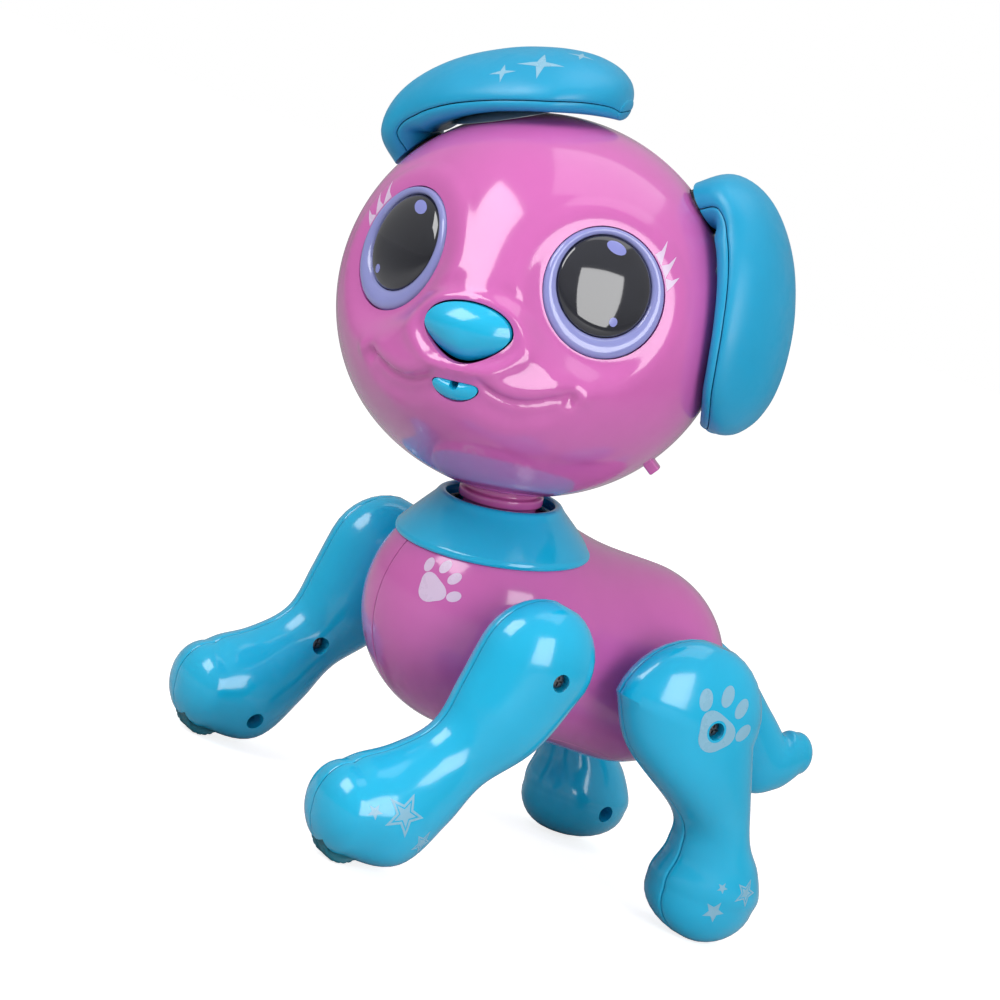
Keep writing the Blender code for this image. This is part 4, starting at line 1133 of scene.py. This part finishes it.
def decal(name, outlines, place, tree, material, body, slot, pitch=0.9 * MM, proud=0.05 * MM,
          sunk=0.12 * MM):
    """Ink lying on a surface: the figure is cut small, dropped along -Z and given thickness."""
    form = flat_fill(outlines)
    xs = [vert.co.x for vert in form.verts]
    ys = [vert.co.y for vert in form.verts]
    for normal, values in ((LEFT, xs), (BACK, ys)):
        level = min(values) + pitch * 0.53
        while level < max(values):
            geometry = form.verts[:] + form.edges[:] + form.faces[:]
            bmesh.ops.bisect_plane(form, geom=geometry, plane_co=normal * level, plane_no=normal,
                                   dist=0.000001)
            level += pitch
    down = (place.to_3x3() @ Vector((0, 0, -1))).normalized()
    tops, lows = [], []
    for vert in form.verts:
        start = place @ Vector((vert.co.x, vert.co.y, 15 * MM))
        spot, normal, _, _ = tree.ray_cast(start, down, 40 * MM)
        if spot is None:
            spot, normal, _, _ = tree.find_nearest(place @ vert.co)
        if normal.dot(down) > 0:
            normal = -normal
        tops.append(spot + normal * proud)
        lows.append(spot - normal * sunk)
    form.verts.index_update()
    made = bmesh.new()
    top = [made.verts.new(point) for point in tops]
    low = [made.verts.new(point) for point in lows]
    for face in form.faces:
        order = [vert.index for vert in face.verts]
        made.faces.new([top[i] for i in order])
        made.faces.new([low[i] for i in order[::-1]])
    for edge in form.edges:
        if len(edge.link_faces) == 1:
            a, b = (vert.index for vert in edge.verts)
            made.faces.new((top[a], top[b], low[b], low[a]))
    form.free()
    return piece(name, mesh_of(made), material, body, slot, angle=60)


def star(points, outer, inner):
    outline = []
    for step in range(points * 2):
        radius = outer if step % 2 == 0 else inner
        angle = math.pi * step / points
        outline.append((radius * math.sin(angle), radius * math.cos(angle)))
    return outline


def ellipse(cx, cy, rx, ry, spin=0.0, count=28):
    outline = []
    for angle in circle(count):
        x, y = rx * math.cos(angle), ry * math.sin(angle)
        outline.append((cx + x * math.cos(spin) - y * math.sin(spin),
                        cy + x * math.sin(spin) + y * math.cos(spin)))
    return outline


def paw_print(size, hole=0.0):
    """A plain paw: one broad pad and four toes."""
    pad = []
    for angle in circle(40):
        radius = 0.50 + 0.06 * math.cos(3 * angle + math.pi / 2 * 3)
        pad.append((size * radius * 1.12 * math.cos(angle),
                    size * radius * 0.92 * math.sin(angle) - size * 0.02))
    figures = [pad]
    if hole > 0:
        figures.append(ellipse(0, 0, hole, hole))
    for x, y, spin in ((-0.76, 0.40, 0.5), (-0.28, 0.80, 0.15), (0.28, 0.80, -0.15),
                       (0.76, 0.40, -0.5)):
        figures.append(ellipse(x * size, y * size, 0.18 * size, 0.26 * size, spin))
    return figures


def on_surface(spot, normal, spin=0.0):
    """A frame for a print: spot in the dog's world in mm, +Z along normal."""
    return facing(Vector(spot) * MM, normal) @ Matrix.Rotation(spin, 4, "Z")


LEG_STARS = {                                    # spot (mm), way it faces, size (mm), open
    "rear_left_leg": (((50.1, 57.7, 19.2), (0.9, 0.39, 0.21), 4.4, True),
                      ((51.6, 49.8, 11.9), (1.0, 0.0, -0.03), 3.4, False),
                      ((51.5, 49.2, 19.3), (1.0, 0.0, 0.1), 1.7, False)),
    "front_left_leg": (((62.4, -66.8, 20.0), (0.98, 0.0, 0.3), 6.2, True),
                       ((61.6, -75.3, 18.6), (0.91, -0.21, 0.37), 2.2, False),
                       ((59.9, -57.3, 13.3), (0.9, 0.37, -0.22), 3.8, True)),
}
EAR_SPARKLES = (                                 # spot, size (mm)
    ((1.2, -78.2, 216.6), 6.5), ((-2.0, -86.9, 211.7), 3.6), ((-1.3, -64.9, 220.3), 3.6),
)
EYELASHES = ((34, 4.2, 2.4), (23, 5.0, 1.6), (12, 4.4, 0.4))     # rise, reach out, reach up


def print_paws():
    chest = on_surface((17.2, -57.4, 72.2), (0.45, -0.89, 0.09), math.radians(-24))
    decal("chest_paw_print", paw_print(8.0 * MM), chest,
          surface_tree("body_left_moulding", "body_right_moulding"), PRINT_WHITE, "body",
          "white_plastic")
    hip = on_surface((54.7, 23.65, 63.0), (1, 0, 0), math.radians(-20))
    decal("left_hip_paw_print", paw_print(12.0 * MM, 3.3 * MM), hip,
          surface_tree("rear_left_leg_outer_moulding"), PRINT_BLUE, "rear_left_leg",
          "white_plastic", 1.2 * MM)


def print_stars():
    for leg, stars in LEG_STARS.items():
        shell = surface_tree(f"{leg}_outer_moulding")
        for index, (spot, normal, size, is_open) in enumerate(stars):
            rims = [(1, 0.44), (0.74, 0.31), (0.56, 0.24)] if is_open else [(1, 0.44)]
            figures = [star(5, size * outer * MM, size * inner * MM) for outer, inner in rims]
            decal(f"{leg}_star_{index + 1}", figures, on_surface(spot, normal, math.radians(-14)),
                  shell, PRINT_BLUE, leg, "white_plastic", 0.8 * MM)
    ear = surface_tree("right_ear_outer_moulding")
    for index, (spot, size) in enumerate(EAR_SPARKLES):
        decal(f"right_ear_sparkle_{index + 1}", [star(4, size * MM, size * 0.26 * MM)],
              on_surface(spot, (0.1, -0.4, 0.9), math.radians(40)), ear, PRINT_BLUE,
              "right_ear", "white_plastic", 0.8 * MM)


def eyelash(rise, reach_out, reach_up):
    root = math.radians(rise)
    foot = Vector((math.cos(root), math.sin(root))) * (EYE_RADIUS + 0.5 * MM)
    outward = Vector((math.cos(root + 0.25), math.sin(root + 0.25)))
    across = Vector((-math.sin(root), math.cos(root))) * 1.75 * MM
    tip = foot + outward * reach_out * MM + Vector((0, reach_up * MM))
    bend = foot.lerp(tip, 0.45) - Vector((0, 0.5 * MM))
    return [foot - across, bend - across * 0.42, tip, bend + across * 0.42, foot + across]


def print_eye(side, sign):
    """Two glints on the lens, and the lashes beside the eye."""
    base = HEAD @ eye_frame(sign)
    lens = surface_tree(f"{side}_eye_lens_moulding")
    glints = (ellipse(2.2 * MM, 10.2 * MM, 2.9 * MM, 1.7 * MM, -0.35),
              ellipse((sign * 3.6 - 1.2) * MM, -9.4 * MM, 1.2 * MM, 1.2 * MM))
    for index, glint in enumerate(glints):
        decal(f"{side}_eye_glint_{index + 1}", [glint],
              base @ Matrix.Translation((0, LENS_LIFT, 0)), lens, GLINT, "head",
              "lilac_plastic", 0.7 * MM)
    face = surface_tree("head_face_moulding")
    for index, lash in enumerate(EYELASHES):
        decal(f"{side}_eyelash_{index + 1}", [[(x * sign, y) for x, y in eyelash(*lash)]], base,
              face, PRINT_WHITE, "head", "white_plastic", 0.8 * MM)


# ---- build --------------------------------------------------------------------------
def make_dog():
    make_body()
    make_collar()
    make_neck_post()
    make_head()
    make_eyes()
    make_muzzle()
    make_knob()
    make_ear("left", 1, 0)
    make_ear("right", -1, math.pi)
    for side, sign in SIDES:
        place = make_leg(f"front_{side}_leg", SHOULDER, sign, FRONT_LEG, FRONT_DOMES, FRONT_SCREWS)
        make_roller(f"front_{side}", place)
        make_leg(f"rear_{side}_leg", HIP, sign, REAR_LEG, REAR_DOMES, REAR_SCREWS)
    make_tail()
    seat = HATCH_SCREW - UP * 0.3 * MM
    piece("battery_door_screw_fine", moved(screw_mesh(seat, -UP, 6 * MM), DOG), STEEL, "body",
          "steel", "battery_door_screw")
    print_paws()
    print_stars()
    for side, sign in SIDES:
        print_eye(side, sign)
    for name, material in KEPT_FINISHES.items():
        kept = frame["nodes"][name]
        for holder in kept.material_slots:
            holder.material = material


# ---- floor, lights and camera -------------------------------------------------------
def make_floor():
    """A matt floor that the camera sees as nearly white."""
    form = bmesh.new()
    bmesh.ops.create_grid(form, x_segments=1, y_segments=1, size=6)
    floor = bpy.data.objects.new("floor", mesh_of(form))
    floor.location.z = -0.2 * MM
    scene.collection.objects.link(floor)
    material, tree, shader, spots = node_material("pale floor")
    tint = ramp(tree, noise(tree, spots, 3, 2), [(0.3, 0.50), (0.7, 0.52)])
    tree.links.new(tint, shader.inputs["Base Color"])
    shader.inputs["Roughness"].default_value = 0.9
    shader.inputs["Emission Color"].default_value = (1, 1, 1, 1)
    seen = add(tree, "LightPath")
    share = add(tree, "Math")
    share.operation = "MULTIPLY"
    share.inputs[1].default_value = 0.82
    tree.links.new(seen.outputs["Is Camera Ray"], share.inputs[0])
    tree.links.new(share.outputs[0], shader.inputs["Emission Strength"])
    floor.data.materials.append(material)


def make_world():
    """A white backdrop for the camera, and a dimmer grey sky for everything else."""
    world = bpy.data.worlds.new("studio")
    scene.world = world
    world.use_nodes = True
    tree = world.node_tree
    tree.nodes.clear()
    out = add(tree, "OutputWorld")
    shine = add(tree, "Background")
    spots = add(tree, "TexCoord")
    parts = add(tree, "SeparateXYZ")
    tree.links.new(spots.outputs["Generated"], parts.inputs["Vector"])
    sky = ramp(tree, parts.outputs["Z"], [(0.0, 0.30), (0.25, 0.40), (1.0, 0.52)])
    tree.links.new(sky, shine.inputs["Color"])
    white = add(tree, "Background", Color=(1, 1, 1, 1))
    rays = add(tree, "LightPath")
    mix = add(tree, "MixShader")
    tree.links.new(rays.outputs["Is Camera Ray"], mix.inputs["Fac"])
    tree.links.new(shine.outputs[0], mix.inputs[1])
    tree.links.new(white.outputs[0], mix.inputs[2])
    tree.links.new(mix.outputs[0], out.inputs["Surface"])


def softbox(name, where, target, size, watts, height=None):
    data = bpy.data.lights.new(name, "AREA")
    data.shape = "RECTANGLE" if height else "SQUARE"
    data.size = size
    if height:
        data.size_y = height
    data.energy = watts
    lamp = bpy.data.objects.new(name, data)
    scene.collection.objects.link(lamp)
    lamp.location = where
    lamp.rotation_euler = (Vector(where) - Vector(target)).to_track_quat("Z", "Y").to_euler()


CAMERA_AT = Vector((0.74596, -0.50709, 0.19876))
CAMERA_AIM = Vector((-0.01054, -0.03019, 0.09746))
CAMERA_ROLL = math.radians(22.06)
CAMERA_LENS = 113.4


def make_camera():
    back = (CAMERA_AT - CAMERA_AIM).normalized()
    level = UP.cross(back).normalized()
    rise = back.cross(level)
    right = level * math.cos(CAMERA_ROLL) + rise * math.sin(CAMERA_ROLL)
    up = -level * math.sin(CAMERA_ROLL) + rise * math.cos(CAMERA_ROLL)
    data = bpy.data.cameras.new("camera")
    data.lens = CAMERA_LENS
    data.sensor_width = 36
    camera = bpy.data.objects.new("camera", data)
    scene.collection.objects.link(camera)
    turn = Matrix((right, up, back)).transposed().to_4x4()
    camera.matrix_world = Matrix.Translation(CAMERA_AT) @ turn
    scene.camera = camera


make_dog()
make_floor()
make_world()
make_camera()
softbox("key", (0.06, -0.60, 0.58), (0.03, -0.09, 0.17), 0.40, 2.9)
softbox("side", (0.74, 0.00, 0.33), (0.05, -0.06, 0.16), 0.36, 2.8, 0.48)
softbox("top", (0.05, 0.10, 1.00), (0, -0.03, 0.12), 0.70, 1.8)
scene.view_settings.view_transform = "Standard"
